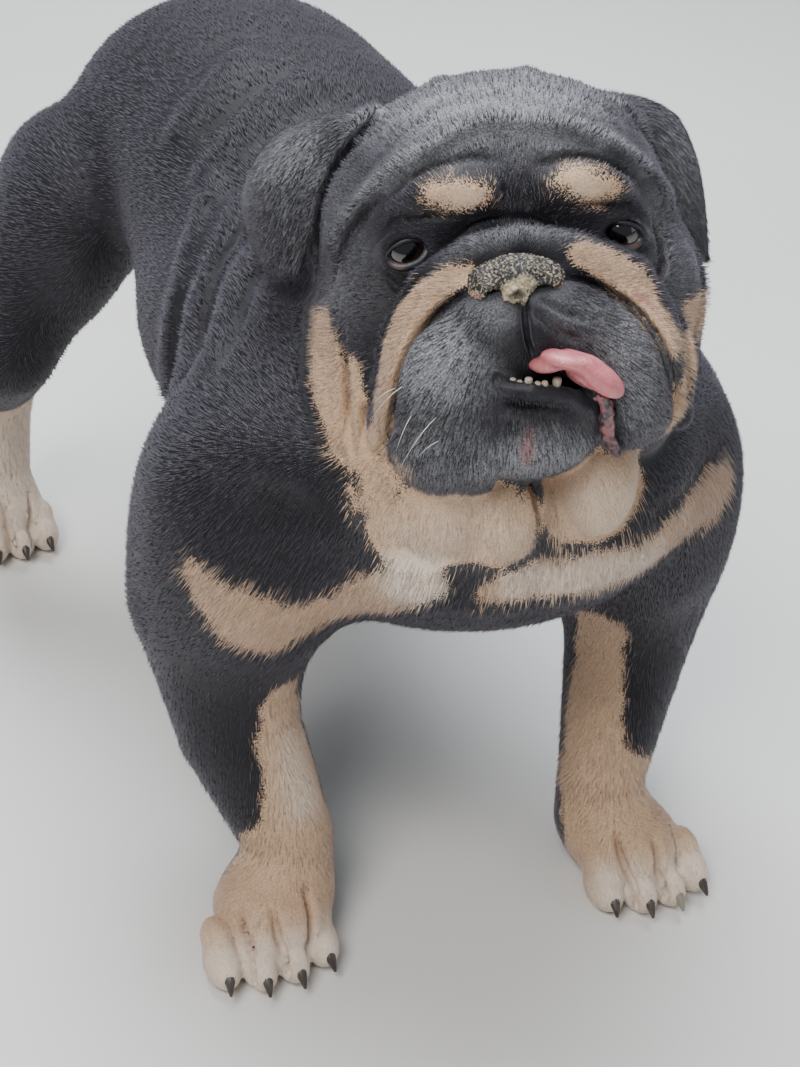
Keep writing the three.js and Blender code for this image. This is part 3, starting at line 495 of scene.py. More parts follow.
def hind_forms(leg):
    thigh, knee, hock, paw = leg["thigh"], leg["knee"], leg["hock"], leg["paw"]
    limb = [(thigh, HIP_Y - 4, 272, 44), (*knee, 37), (*mixed(knee, hock, 0.6), 31), (*hock, 26)]
    return [
        ball([thigh, HIP_Y, 276], [40, 72, 64], 30),
        chain(limb, 24),
        chain([(*hock, 26), (paw[0], paw[1] + 18, 44, 27)], 12),
        *paw_forms(paw, (paw[0], paw[1] + 16)),
    ]


def paw_creases(paw, above):
    """The furrows between the toes."""
    forms = paw_forms(paw, above)
    lines = []
    for i in (-1, 0, 1):
        x, y, _ = toe_at(paw, i)
        top = (x * 0.96 + above[0] * 0.04, y + 14, 38)
        lines.append([(x, y - 16, 3), (x, y - 14, 14), (x, y - 5, 25), top])
    return [Crease(lambda points: blend(forms, points), line, 4.2, 8) for line in lines]


BODY_FORMS = [
    ball([0, 64, 278], [143, 122, 100], 30),
    ball([-6, 190, 288], [134, 150, 98], 40),
    ball([-16, 308, 326], [107, 110, 86], 40),
    ball([-22, HIP_Y, 324], [110, 92, 90], 40),
    ball([0, 0, 266], [92, 56, 50], 30),
    *[form for side in SIDES for form in fore_forms(FORE[side])],
    *[form for side in SIDES for form in hind_forms(HIND[side])],
]
NECK_FORMS = [chain([(0, 112, 300, 106), (8, 84, 352, 92), (12, 62, 376, 84)])]
TAIL_FORMS = [chain([(*TAIL_AT, 18), (*mixed(TAIL_AT, TAIL_TIP, 0.6), 13), (*TAIL_TIP, 7)])]
BODY_FOLDS = [
    ([(-53, 299, 406), (-68, 287, 399), (-83, 279, 389), (-98, 272, 375)], 10, 5.4),
    ([(-20, 262, 404), (-50, 249, 395), (-75, 238, 382), (-96, 228, 364)], 10, 5.8),
    ([(-30, 274, 405), (-62, 262, 394), (-86, 254, 380)], 5, -2.4),
    ([(-96, 212, 360), (-113, 186, 346), (-127, 166, 327), (-136, 156, 299), (-137, 156, 270)], 9, 6.7),
    ([(-88, 184, 366), (-106, 162, 350), (-119, 148, 335), (-130, 137, 317), (-140, 112, 296)], 8, 6.7),
    ([(-96, 136, 356), (-110, 126, 345), (-122, 110, 332), (-135, 86, 318), (-145, 66, 300)], 8, 6.1),
    ([(-98, 100, 352), (-112, 84, 341), (-128, 62, 326), (-142, 44, 304)], 7, 5.1),
    ([(-100, 200, 357), (-118, 176, 340), (-130, 152, 314), (-138, 140, 280)], 4.5, -3.4),
    ([(-94, 162, 360), (-112, 148, 343), (-126, 126, 326), (-140, 98, 304)], 4.5, -3.4),
    ([(-98, 118, 354), (-112, 104, 342), (-128, 80, 328), (-143, 56, 306)], 4.5, -3),
    ([(98, 212, 352), (114, 188, 336), (126, 166, 316), (132, 152, 286)], 9, 6.1),
    ([(96, 176, 358), (112, 156, 342), (124, 136, 322), (134, 112, 296)], 8, 6.1),
    ([(100, 128, 352), (116, 108, 336), (128, 84, 318), (138, 62, 296)], 8, 5.4),
    ([(97, 194, 355), (113, 172, 338), (126, 150, 316)], 4.5, -3.2),
    ([(98, 152, 356), (114, 132, 340), (127, 110, 320)], 4.5, -3.2),
    ([(-146, 26, 300), (-120, 2, 302), (-100, -18, 292)], 10, -2),
    ([(-150, 30, 262), (-126, 0, 262), (-96, -30, 268), (-62, -50, 280)], 13, -2.2),
    ([(60, -44, 284), (92, -26, 286), (122, 6, 286)], 6, -2.8),
    ([(40, -58, 262), (84, -42, 262), (120, -6, 262)], 8, 2.4),
    ([(-60, -46, 250), (-24, -58, 246), (20, -58, 250)], 9, 2.2),
    ([(-6, -58, 290), (-8, -62, 262), (-10, -58, 236)], 7, -2.2),
    ([(-150, 52, 222), (-132, 32, 196), (-112, 20, 178)], 6, -2.4),
    ([(136, 46, 214), (122, 26, 186), (100, 18, 166)], 6, -2.4),
    ([(-60, 330, 412), (-22, 322, 414), (20, 330, 411)], 9, -1.8),
]

EAR = {
    "right": {
        "front": [(-46, 68, 56), (-60, 54, 60), (-76, 44, 50), (-90, 42, 32), (-97, 44, 8), (-104, 48, -14)],
        "rear": [(-76, 102, 36), (-93, 101, 48), (-111, 93, 43), (-125, 80, 23), (-124, 68, 2),
                 (-115, 58, -16)],
    },
    "left": {
        "front": [(46, 68, 54), (57, 56, 58), (68, 48, 46), (77, 46, 26), (83, 50, 2), (88, 56, -22)],
        "rear": [(70, 102, 34), (83, 102, 42), (94, 94, 38), (101, 80, 18), (104, 68, -4), (104, 60, -25)],
    },
    "bulge": [0, 5, 9, 9, 6, 3],
    "thick": [8.4, 7.4, 7.0, 6.8, 6.6, 6.4],
}


class Ear:
    """The folded flap of an ear: its middle sheet, searched for the nearest point, and half its thickness."""

    ROWS = 44
    COLUMNS = 18

    def __init__(self, name):
        side = -1 if name == "right" else 1
        front = curve_points(EAR[name]["front"], self.ROWS)
        rear = curve_points(EAR[name]["rear"], self.ROWS)
        t = np.linspace(0, 1, self.ROWS)
        s = np.linspace(0, 1, self.COLUMNS)
        knots = np.linspace(0, 1, len(EAR["bulge"]))
        bulge = np.interp(t, knots, EAR["bulge"])
        away = np.stack([np.full(self.ROWS, side * 0.75), np.full(self.ROWS, -0.35), 0.55 * (1 - t)], 1)
        away /= np.linalg.norm(away, axis=1)[:, None]
        bow = 4 * s * (1 - s)
        sheet = (front[:, None] * (1 - s)[None, :, None] + rear[:, None] * s[None, :, None]
                 + away[:, None] * (bulge[:, None] * bow[None])[..., None]).reshape(-1, 3)
        self.half = np.interp(t, knots, EAR["thick"])[:, None] / 2 * np.ones(self.COLUMNS)
        quads = [(a, a + 1, a + self.COLUMNS + 1, a + self.COLUMNS) for r in range(self.ROWS - 1)
                 for a in range(r * self.COLUMNS, (r + 1) * self.COLUMNS - 1)]
        self.tree = BVHTree.FromPolygons(sheet.tolist(), quads)
        self.form = Form(self.distance, sheet.min(0), sheet.max(0), 3.0)

    def distance(self, points):
        out = np.empty(len(points), REAL)
        for n, p in enumerate(points.tolist()):
            _, _, face, away = self.tree.find_nearest(p)
            out[n] = away - self.half[divmod(face, self.COLUMNS - 1)]
        return out


class Skin:
    """The whole skin as one field, with its folds."""

    def __init__(self, depth):
        self.depth = depth
        self.face_folds = settled_folds(face_base, FACE_FOLDS)
        self.dewlap_folds = settled_folds(dewlap_base, DEWLAP_FOLDS)
        self.face_creases = [Crease(face_base, *crease) for crease in FACE_CREASES]
        self.face_creases += [Crease(dewlap_base, *crease) for crease in DEWLAP_CREASES]
        self.body_folds = [Fold(*row) for row in BODY_FOLDS]
        self.toe_creases = []
        for leg in FORE.values():
            self.toe_creases += paw_creases(leg["paw"], leg["wrist"])
        for leg in HIND.values():
            x, y = leg["paw"]
            self.toe_creases += paw_creases((x, y), (x, y + 16))
        self.ears = [Ear(side).form for side in SIDES]
        self.sockets = [
            hollow(ball([side * EYE["x"], EYE["y"] - EYE["radius"] - 2.4, EYE["z"] - 1.2], OPENING, 2.5,
                        ("Y", OPENING_TILT * side)))
            for side in BOTH]

    def head(self, local):
        d = fold(blend(HEAD_FORMS, local), local, self.face_folds)
        d = melt(d, fold(dewlap_base(local), local, self.dewlap_folds), 3.5)
        d = fold(d, local, self.face_creases)
        d = melt(d, blend(JAW_FORMS, local), 5)
        for ear in self.ears:
            join(d, ear, local, 9.0)
        for socket in self.sockets:
            join(d, socket, local, 12.0)
        return d

    def __call__(self, points):
        points = np.asarray(points, REAL)
        body = melt(blend(BODY_FORMS, points), blend(TAIL_FORMS, points), 9)
        neck = blend(NECK_FORMS, points)
        d = fold(melt(body, neck, 30), points, self.body_folds + self.toe_creases)
        rows = np.nonzero(np.linalg.norm(points - HEAD_AT - np.array([10, 50, -30], REAL), axis=1) < 230)[0]
        if len(rows):
            local = to_head(points[rows])
            head = self.head(local)
            nape = smooth_step(30, 80, local[:, 1]) * smooth_step(88, 66, np.abs(local[:, 0]))
            d[rows] = np.minimum(melt(head, neck[rows], 4 + 12 * nape), melt(head, d[rows], 3 + 3 * nape))
        return np.maximum(d, -points[:, 2] - self.depth)


# Meshing: one vertex in each cell of a grid that the surface crosses, joined across the crossed edges
CORNERS = [(i & 1, i >> 1 & 1, i >> 2) for i in range(8)]
EDGES = [(i, i | bit) for i in range(8) for bit in (1, 2, 4) if not i & bit]


def grid_lines(*runs):
    """Grid lines from low to high, given as (low, high, cell) runs."""
    out = [runs[0][0]]
    for low, high, cell in runs:
        count = max(1, round((high - low) / cell))
        out.extend(low + (high - low) * i / count for i in range(1, count + 1))
    return np.array(out)


def grid_points(lines):
    return np.stack(np.meshgrid(*lines, indexing="ij"), -1).reshape(-1, 3).astype(REAL)


def sample(field, lines, stride=6):
    """The field at every crossing of the grid lines, worked out in full only near the surface."""
    coarse = [np.unique(np.append(line[::stride], line[-1])) for line in lines]
    rough = field(grid_points(coarse)).reshape([len(line) for line in coarse])
    steps = [np.diff(line) for line in coarse]
    across, along, up = np.ix_(*steps)
    size = np.sqrt(across**2 + along**2 + up**2)
    shape = [len(line) - 1 for line in coarse]
    corner = [rough[i : i + shape[0], j : j + shape[1], k : k + shape[2]] for i, j, k in CORNERS]
    active = np.min([np.abs(c) for c in corner], axis=0) < size
    pick = np.ix_(*(np.clip(np.searchsorted(rough_line, line, side="right") - 1, 0, len(rough_line) - 2)
                    for rough_line, line in zip(coarse, lines)))
    values = np.mean(corner, axis=0)[pick]
    mask = active[pick]
    where = np.nonzero(mask)
    points = np.stack([line[index] for line, index in zip(lines, where)], 1).astype(REAL)
    values[where] = field(points)
    for axis in range(3):
        for end in (0, -1):
            rim = [slice(None)] * 3
            rim[axis] = end
            values[tuple(rim)] = np.maximum(values[tuple(rim)], 0.5)
    return values


def surface(field, lines, level=0.0, passes=3):
    """Vertices and quads of the surface where the field equals the level."""
    values = sample(field, lines) - level
    shape = values.shape
    inside = values < 0
    cells = [n - 1 for n in shape]
    corner = [values[i : i + cells[0], j : j + cells[1], k : k + cells[2]] for i, j, k in CORNERS]
    full = np.sum([c < 0 for c in corner], axis=0)
    active = (full > 0) & (full < 8)
    rows = np.nonzero(active)
    index = np.full(cells, -1)
    index[rows] = np.arange(len(rows[0]))
    picked = np.stack([c[rows] for c in corner], 1)
    total = np.zeros((len(rows[0]), 3))
    count = np.zeros(len(rows[0]))
    places = np.array(CORNERS, float)
    for a, b in EDGES:
        va, vb = picked[:, a], picked[:, b]
        crossed = (va < 0) != (vb < 0)
        t = np.where(crossed, va / np.where(crossed, va - vb, 1), 0)
        total += np.where(crossed[:, None], places[a] + t[:, None] * (places[b] - places[a]), 0)
        count += crossed
    local = total / count[:, None]
    low = np.stack([line[r] for line, r in zip(lines, rows)], 1)
    span = np.stack([np.diff(line)[r] for line, r in zip(lines, rows)], 1)
    vertices = low + local * span
    quads = []
    for axis in range(3):
        a, b = (axis + 1) % 3, (axis + 2) % 3
        here = [slice(1, -1)] * 3
        here[axis] = slice(0, -1)
        ahead = [slice(1, -1)] * 3
        ahead[axis] = slice(1, None)
        first, second = inside[tuple(here)], inside[tuple(ahead)]
        crossing = np.array(np.nonzero(first != second)).T
        outward = first[first != second]
        base = crossing + 1
        base[:, axis] -= 1
        ring = []
        for da, db in ((0, 0), (1, 0), (1, 1), (0, 1)):
            cell = base.copy()
            cell[:, a] -= da
            cell[:, b] -= db
            ring.append(index[cell[:, 0], cell[:, 1], cell[:, 2]])
        ring = np.stack(ring, 1)
        ring[~outward] = ring[~outward][:, ::-1]
        quads.append(ring)
    return settle(field, vertices, level, span * 0.7, passes), np.concatenate(quads)


def settle(field, vertices, level, reach, passes):
    """Each vertex drawn onto the true surface, but not further than its own cell."""
    vertices = vertices.astype(REAL)
    start = vertices.copy()
    for _ in range(passes):
        here, slope = slope_of(field, vertices)
        steep = np.maximum((slope**2).sum(1), 0.25)
        vertices = vertices - ((here - level) / steep)[:, None] * slope
        vertices = start + np.clip(vertices - start, -reach, reach)
    return vertices


def link(mesh, name=None):
    piece = bpy.data.objects.new(name or mesh.name, mesh)
    bpy.context.scene.collection.objects.link(piece)
    return piece


def smooth_faces(mesh, smooth=True):
    mesh.polygons.foreach_set("use_smooth", np.full(len(mesh.polygons), smooth))


def mesh_object(name, vertices, faces, smooth=True):
    """A mesh object from points in the row frame, in metres."""
    mesh = bpy.data.meshes.new(name)
    vertices = np.asarray(vertices, np.float32)
    sizes = np.array([len(face) for face in faces], np.int32)
    loops = np.concatenate([np.asarray(face, np.int32).ravel() for face in faces])
    mesh.vertices.add(len(vertices))
    mesh.vertices.foreach_set("co", vertices.ravel())
    mesh.loops.add(len(loops))
    mesh.loops.foreach_set("vertex_index", loops)
    mesh.polygons.add(len(sizes))
    mesh.polygons.foreach_set("loop_start", np.concatenate([[0], np.cumsum(sizes)[:-1]]).astype(np.int32))
    mesh.update(calc_edges=True)
    mesh.validate()
    smooth_faces(mesh, smooth)
    return link(mesh)


def read(data, key, width=1, kind=REAL):
    """One value of every point, face, corner or attribute entry, as an array."""
    values = np.empty(len(data) * width, kind)
    data.foreach_get(key, values)
    return values.reshape(-1, width) if width > 1 else values


def ripple(points, size, seed):
    """Soft, even noise between about -1 and 1, from sums of waves."""
    random = np.random.default_rng(seed)
    out = np.zeros(len(points))
    for _ in range(9):
        way = random.normal(size=3)
        way *= 2 * math.pi / size * random.uniform(0.6, 1.5) / np.linalg.norm(way)
        out += np.sin(points @ way + random.uniform(0, 6.3))
    return out / 3.4


def ridges(points, size, seed, steepness):
    """Cracks between rounded grains: 0 at a crack and 1 away from it."""
    near = points / size
    base = np.floor(near).astype(int)
    best = np.full(len(points), 9.0)
    second = np.full(len(points), 9.0)
    for step in itertools.product((-1, 0, 1), repeat=3):
        cell = base + list(step)
        mark = (cell[:, 0] * 73856093) ^ (cell[:, 1] * 19349663) ^ (cell[:, 2] * 83492791) ^ seed
        place = np.stack([((mark * m) % 1009) / 1009 for m in (7919, 104729, 1299709)], 1)
        away = np.linalg.norm(cell + place - near, axis=1)
        second = np.minimum(second, np.maximum(best, away))
        best = np.minimum(best, away)
    return np.clip((second - best) * steepness, 0, 1)


# The markings, the same for skin and coat: forms in the head's frame and in the solids', and their weights
MARKS = {
    "tan": {
        "head": [
            (ball([-29, -14, 29.2], [16, 14, 7.2], 10, ("Y", 6)), 1.0),
            (ball([33, -14, 28], [16, 14, 7.4], 10, ("Y", 16)), 1.0),
            (chain([(-93, 22, -37, 9.5), (-94, 14, -52, 12), (-95, 6, -64, 11), (-91, -3, -76, 10.5),
                    (-86, -9, -92, 10)], 6), 1.0),
            (chain([(-90, 15, -44, 5), (-88, 7, -58, 7), (-86, 0, -73, 6), (-85, -8, -90, 7)], 5), 1.0),
            (chain([(-82, 1, -53, 5), (-81, -3, -67, 6.5), (-81, -5, -79, 7.5), (-80, -13, -94, 9)], 6), 1.0),
            (chain([(-27, -37, -3, 4.5), (-35, -37, -6, 6.5), (-46, -35, -12, 8), (-55, -33, -22, 9),
                    (-62, -34, -33, 9), (-67, -36, -44, 9), (-72, -37, -57, 8.5), (-75, -34, -70, 8.5),
                    (-78, -22, -88, 9)], 5.5), 1.0),
            (chain([(24, -38, 1, 5), (34, -36, -3, 7.5), (44, -36, -10, 9), (53, -38, -19, 9),
                    (60, -45, -30, 8.5),
                    (66, -49, -42, 7)], 5.5), 1.0),
            (chain([(90, 16, -44, 11), (84, -12, -50, 12), (77, -38, -50, 8), (74, -46, -60, 6.5),
                    (71, -42, -76, 7), (68, -30, -92, 8)], 6), 1.0),
            (ball([-38, -10, -128], [45, 44, 31], 6), 1.0),
            (ball([-72, 4, -112], [18, 30, 26], 6), 1.0),
            (ball([32, -8, -122], [31, 40, 29], 6), 1.0),
            (ball([-62, -40, -92], [7, 9, 8], 5), 0.45),
            (ball([-71, -18, -106], [14, 18, 16], 6), 0.75),
        ],
        "body": [
            (chain([(-166, 12, 246, 7), (-156, 2, 234, 13), (-146, -3, 226, 18), (-132, -6, 219, 19),
                    (-116, -9, 222, 13), (-95, -15, 230, 12), (-80, -34, 250, 14), (-66, -47, 266, 15)], 10),
             1.0),
            (chain([(-38, -57, 260, 8), (-11, -61, 262, 12), (18, -62, 261, 13), (51, -53, 256, 15),
                    (85, -36, 261, 18), (113, -17, 262, 17), (126, -4, 262, 13)], 10), 1.0),
            (chain([(-112, 18, 150, 13), (-108, 14, 128, 20), (-104, 6, 106, 22), (-104, -2, 84, 23)], 8),
             1.0),
            (chain([(-106, 2, 66, 27), (-112, -12, 48, 36), (-128, -24, 20, 50)], 6), 1.0),
            (chain([(84, 24, 150, 17), (78, 20, 132, 22), (76, 12, 108, 23), (74, 2, 88, 23)], 8), 1.0),
            (chain([(88, 0, 62, 27), (96, -14, 46, 36), (105, -32, 20, 50)], 6), 1.0),
            (chain([(-118, 396, 192, 22), (-140, 440, 140, 24), (-160, 462, 100, 32), (-174, 455, 56, 38),
                    (-178, 430, 22, 52)], 8), 1.0),
            (chain([(56, 390, 190, 22), (78, 430, 140, 24), (94, 452, 100, 32), (98, 440, 56, 38),
                    (98, 412, 22, 52)], 8), 1.0),
            (ball([-30, 490, 284], [22, 22, 30], 7), 1.0),
        ],
    },
    "cream": {
        "head": [
            (ball([-40, -34, -134], [36, 30, 20], 12), 0.3),
            (ball([31, -32, -128], [22, 24, 20], 12), 0.35),
            (ball([-26, -18, 27], [9, 9, 4], 7), 0.35),
            (ball([31, -18, 26], [9, 9, 4], 7), 0.35),
            (chain([(48, -46, -16, 5), (60, -54, -30, 5), (70, -56, -46, 4)], 6), 0.6),
        ],
        "body": [
            (ball([-68, -45, 262], [20, 22, 20], 9), 0.9),
            (chain([(-20, -60, 262, 10), (20, -62, 260, 11), (60, -50, 256, 11)], 9), 0.8),
            (chain([(-104, 6, 120, 12), (-100, 0, 92, 12)], 12), 0.6),
            (chain([(-128 + 30 * u, -42, 14, 17) for u in (-0.9, 0.9)], 14), 0.9),
            (chain([(105 + 30 * u, -52, 14, 17) for u in (-0.9, 0.9)], 14), 0.9),
            (chain([(-166, 474, 100, 26), (-178, 452, 56, 32), (-178, 430, 20, 46)], 14), 0.8),
            (chain([(96, 462, 100, 26), (98, 440, 56, 32), (98, 412, 20, 46)], 14), 0.8),
        ],
    },
    # Grey hair: real grey hairs on the muzzle, chin, cheeks and ears, and painted highlight as silver on the
    # lit crown, brow roll and top of the right ear
    "grey_hair_and_highlight": {
        "head": [
            (ball([-44, -46, -46], [22, 26, 22], 16), 0.95),
            (ball([-44, -42, -80], [26, 28, 26], 16), 0.5),
            (ball([46, -48, -54], [20, 24, 32], 16), 0.68),
            (ball([22, -52, -26], [18, 14, 12], 12), 0.42),
            (ball([-24, -52, -24], [16, 14, 10], 10), 0.4),
            (ball([-4, -46, -90], [36, 34, 15], 12), 0.76),
            # Painted highlight: silver on the crown where the top light falls, over its own grey tips
            (ball([-4, 52, 66], [70, 66, 30], 24), 0.78),
            # Painted highlight along the lit top of the brow roll
            (chain([(-76, 17, 18, 4), (-65, 7, 34, 5), (-37, 0, 56, 6), (-7, 2, 64, 6), (38, 1, 56, 6),
                    (67, 6, 34, 5)], 9), 0.8),
            (ball([-88, 34, -6], [24, 38, 52], 16), 0.34),
            (ball([80, 34, -6], [22, 38, 52], 16), 0.34),
            # Painted highlight on the lit top of the right ear
            (ball([-98, 68, 40], [32, 36, 22], 16), 0.66),
            (ball([-20, -14, -130], [70, 44, 30], 12), 0.16),
            (ball([-100, 62, 4], [32, 36, 34], 16), 0.36),
            (ball([90, 68, 24], [30, 38, 44], 16), 0.5),
            (chain([(-36, -30, 6, 6), (-2, -32, 14, 7), (30, -30, 8, 6)], 7), 0.3),
        ],
    },
    "pink": {
        "head": [
            (chain([(-4, -62, -73, 4), (-6, -62, -82, 5), (-7, -58, -91, 4)], 5), 0.55),
            (ball([52, -42, -22], [8, 8, 2.4], 3, ("Y", 40)), 0.8),
            (ball([-69, -44, -72], [2.6, 6, 3.4], 3), 0.7),
        ],
    },
    "lip": {
        "head": [
            (chain([(-22, -50, -54, 3.5), (-14, -60, -50.5, 4), (-3, -64, -52, 4.5), (11, -61, -56.5, 4.5),
                    (22, -52, -66, 4)], 2.5), 1.0),
            (chain(MOUTH_LINE, 3), 1.0),
            (chain([(30, -56, -62, 4), (32, -50, -71, 5), (32, -45, -83, 5), (36, -42, -92, 4)], 3), 0.9),
            (ball([-2, -32, -60], [34, 24, 12], 4), 1.0),
        ],
    },
}


def markings(points, local):
    """Each marking's weight at each point, with edges broken up as hair breaks them."""
    wobble = 0.9 * ripple(points, 6, 3) + 1.2 * ripple(points, 15, 4)
    near_head = np.linalg.norm(local - [0, 30, -30], axis=1) < 190
    out = {}
    for name, shapes in MARKS.items():
        weight = np.zeros(len(points))
        for where, places, seen in (("head", local, near_head), ("body", points, True)):
            for form, amount in shapes.get(where, ()):
                part = amount * smooth_step(form.soft, -form.soft, form.distance(places) + wobble)
                weight = np.maximum(weight, np.where(seen, part, 0))
        out[name] = weight
    wedge = chain([(-47, -56, 260, 4), (-46, -54, 276, 13), (-44, -46, 300, 24)])
    off_dewlap = smooth_step(1, 6, blend(DEWLAP_FORMS, local, 12))
    dark_patch = smooth_step(7, -5, wedge.distance(points) + wobble) * off_dewlap
    dark_roll = smooth_step(5, -5, ball([-2, -36, 4], [20, 20, 8]).distance(local) + wobble)
    dark_nose = smooth_step(6, -6, ball([-2, -60, -37], [12, 14, 11]).distance(local) + wobble)
    for name in ("tan", "cream"):
        dark = np.where(near_head, np.maximum(dark_roll, dark_nose), 0)
        out[name] = out[name] * (1 - dark_patch) * (1 - dark)
    out["grey_hair_and_highlight"] = out["grey_hair_and_highlight"] * (1 - np.where(near_head, 0.8 * dark_nose, 0))
    return out


def toward(a, b, share):
    """Each row of a moved towards b by its share."""
    return a * (1 - share)[:, None] + b * share[:, None]


def coat_lie(points, local, near_head):
    """The way the hair lies: away from the nose on the head, then back along the body and down the legs."""
    x, y, z = points.T
    back = np.tile([0.0, 1.0, -0.28], (len(points), 1))
    down = np.stack([x / 260, np.full(len(points), 0.1), np.full(len(points), -1.0)], 1)
    back = toward(back, down, smooth_step(70, -10, y) * smooth_step(330, 290, z))
    back = toward(back, np.array([0, 0.12, -1.0]), smooth_step(200, 140, z))
    back = toward(back, np.array([0, -1.0, -0.3]), smooth_step(46, 26, z))
    away = local - np.array([-4.0, -30.0, -8.0])
    away /= np.maximum(np.linalg.norm(away, axis=1), 1)[:, None]
    away[:, 1] += 0.35
    away[:, 2] -= 0.7 * smooth_step(-60, -100, local[:, 2])
    for side in BOTH:
        ear = smooth_step(24, 8, np.abs(local[:, 0] - side * 96) - 8) * smooth_step(34, 44, local[:, 1])
        away = toward(away, np.array([side * 0.5, 0.15, -0.85]), ear)
    return toward(back, away @ HEAD_AXES.T, near_head)


# The pieces of the coat, with the most tufts that each may have
REGIONS = {
    "face": 48500, "brow_and_ears": 40000, "cheeks_and_nape": 38000, "chest": 34000, "shoulders": 46000,
    "flanks": 43500, "rump": 43000, "forelegs": 42000, "hind_legs": 38000,
}
NAMES = list(REGIONS)
# The tufts: how deep the root sits in metres, how far the tip strays, how thick a tuft is as a share of its
# length, the corners of each, and its patch on the map
ROOT_DEPTH = 0.0003
STRAY = 0.10
THICKNESS = 0.035
TUFT_CORNERS = 4
PATCH = 0.003


def region_of(points, local, near_head):
    """The coat piece that each point belongs to."""
    _, y, z = points.T
    head = near_head > 0.5
    behind = local[:, 1] >= 22
    high = local[:, 2] >= 18
    region = np.full(len(points), NAMES.index("flanks"))
    for name, inside in (
        ("shoulders", y < 150),
        ("chest", (y < 42) & (z > 150)),
        ("rump", y > 330),
        ("forelegs", (y < 200) & (z < 190)),
        ("hind_legs", (y > 250) & (z < 215)),
        ("brow_and_ears", head & behind & high),
        ("cheeks_and_nape", head & behind & ~high),
        ("face", head & ~behind),
    ):
        region[inside] = NAMES.index(name)
    return region


def hair_length(points, local, near_head):
    """The length of the hair, in millimetres."""
    length = 8.2 - 1.4 * smooth_step(210, 120, points[:, 2])
    length -= 2.2 * smooth_step(60, 30, points[:, 2])
    on_head = 6.2 - 0.8 * smooth_step(40, 0, local[:, 1])
    on_head -= 2.4 * smooth_step(26, 12, np.linalg.norm(local - [-4, -52, -18], axis=1))
    ear = smooth_step(74, 90, np.abs(local[:, 0])) * smooth_step(-26, -16, local[:, 2])
    on_head -= 1.0 * ear + 1.6 * smooth_step(-40, -80, local[:, 2]) * smooth_step(-34, -14, local[:, 1])
    for side in BOTH:
        at_eye = smooth_step(26, 15, np.linalg.norm(local - np.array(eye_at(side)), axis=1))
        at_brow = smooth_step(28, 16, np.linalg.norm(local - [side * 31, -12, 28], axis=1))
        on_head -= 1.6 * np.maximum(at_eye, at_brow)
    return length * (1 - near_head) + on_head * near_head


def hair_cover(points, local, marks):
    """How thickly the hair grows, from none to full."""
    cover = 1 - 0.9 * marks["pink"]
    cover *= 1 - smooth_step(0.35, 0.8, marks["lip"])
    cover *= smooth_step(-1.0, 2.5, blend(NOSE_FORMS, local, 10) - 1.0)
    for side in BOTH:
        from_eye = np.linalg.norm(local - np.array(eye_at(side)), axis=1)
        cover *= smooth_step(EYE["radius"] + 0.6, EYE["radius"] + 2.6, from_eye)
    cover *= smooth_step(3.0, 8.0, points[:, 2])
    dewlap = smooth_step(-96, -112, local[:, 2]) * smooth_step(60, 40, np.abs(local[:, 1]))
    return cover * (1 - 0.55 * dewlap)


# Materials
class Value:
    """A socket that carries a number, with arithmetic that adds Math nodes."""

    def __init__(self, finish, socket):
        self.finish = finish
        self.socket = socket

    def _with(self, operation, *others):
        node = self.finish.node("ShaderNodeMath", {"operation": operation}, dict(enumerate(others)))
        return Value(self.finish, node.outputs[0])

    def __add__(self, other):
        return self._with("ADD", self, other)

    def __radd__(self, other):
        return self._with("ADD", other, self)

    def __sub__(self, other):
        return self._with("SUBTRACT", self, other)

    def __rsub__(self, other):
        return self._with("SUBTRACT", other, self)

    def __mul__(self, other):
        return self._with("MULTIPLY", self, other)

    def __rmul__(self, other):
        return self._with("MULTIPLY", other, self)

    def at_least(self, other):
        return self._with("MAXIMUM", self, other)

    def ramp(self, low, high):
        """From 0 at low to 1 at high, eased."""
        settings = {"interpolation_type": "SMOOTHSTEP"}
        values = {"Value": self, "From Min": low, "From Max": high, "To Min": 0.0, "To Max": 1.0}
        return Value(self.finish, self.finish.node("ShaderNodeMapRange", settings, values).outputs[0])


class Nodes:
    """A node tree under construction."""

    def node(self, kind, settings=None, values=None):
        """A node of a kind, with its settings and then the values or links of its sockets."""
        made = self.tree.nodes.new(kind)
        for key, value in (settings or {}).items():
            setattr(made, key, value)
        for key, value in (values or {}).items():
            value = value.socket if isinstance(value, Value) else value
            if isinstance(value, bpy.types.NodeSocket):
                self.tree.links.new(value, made.inputs[key])
            else:
                made.inputs[key].default_value = value
        return made


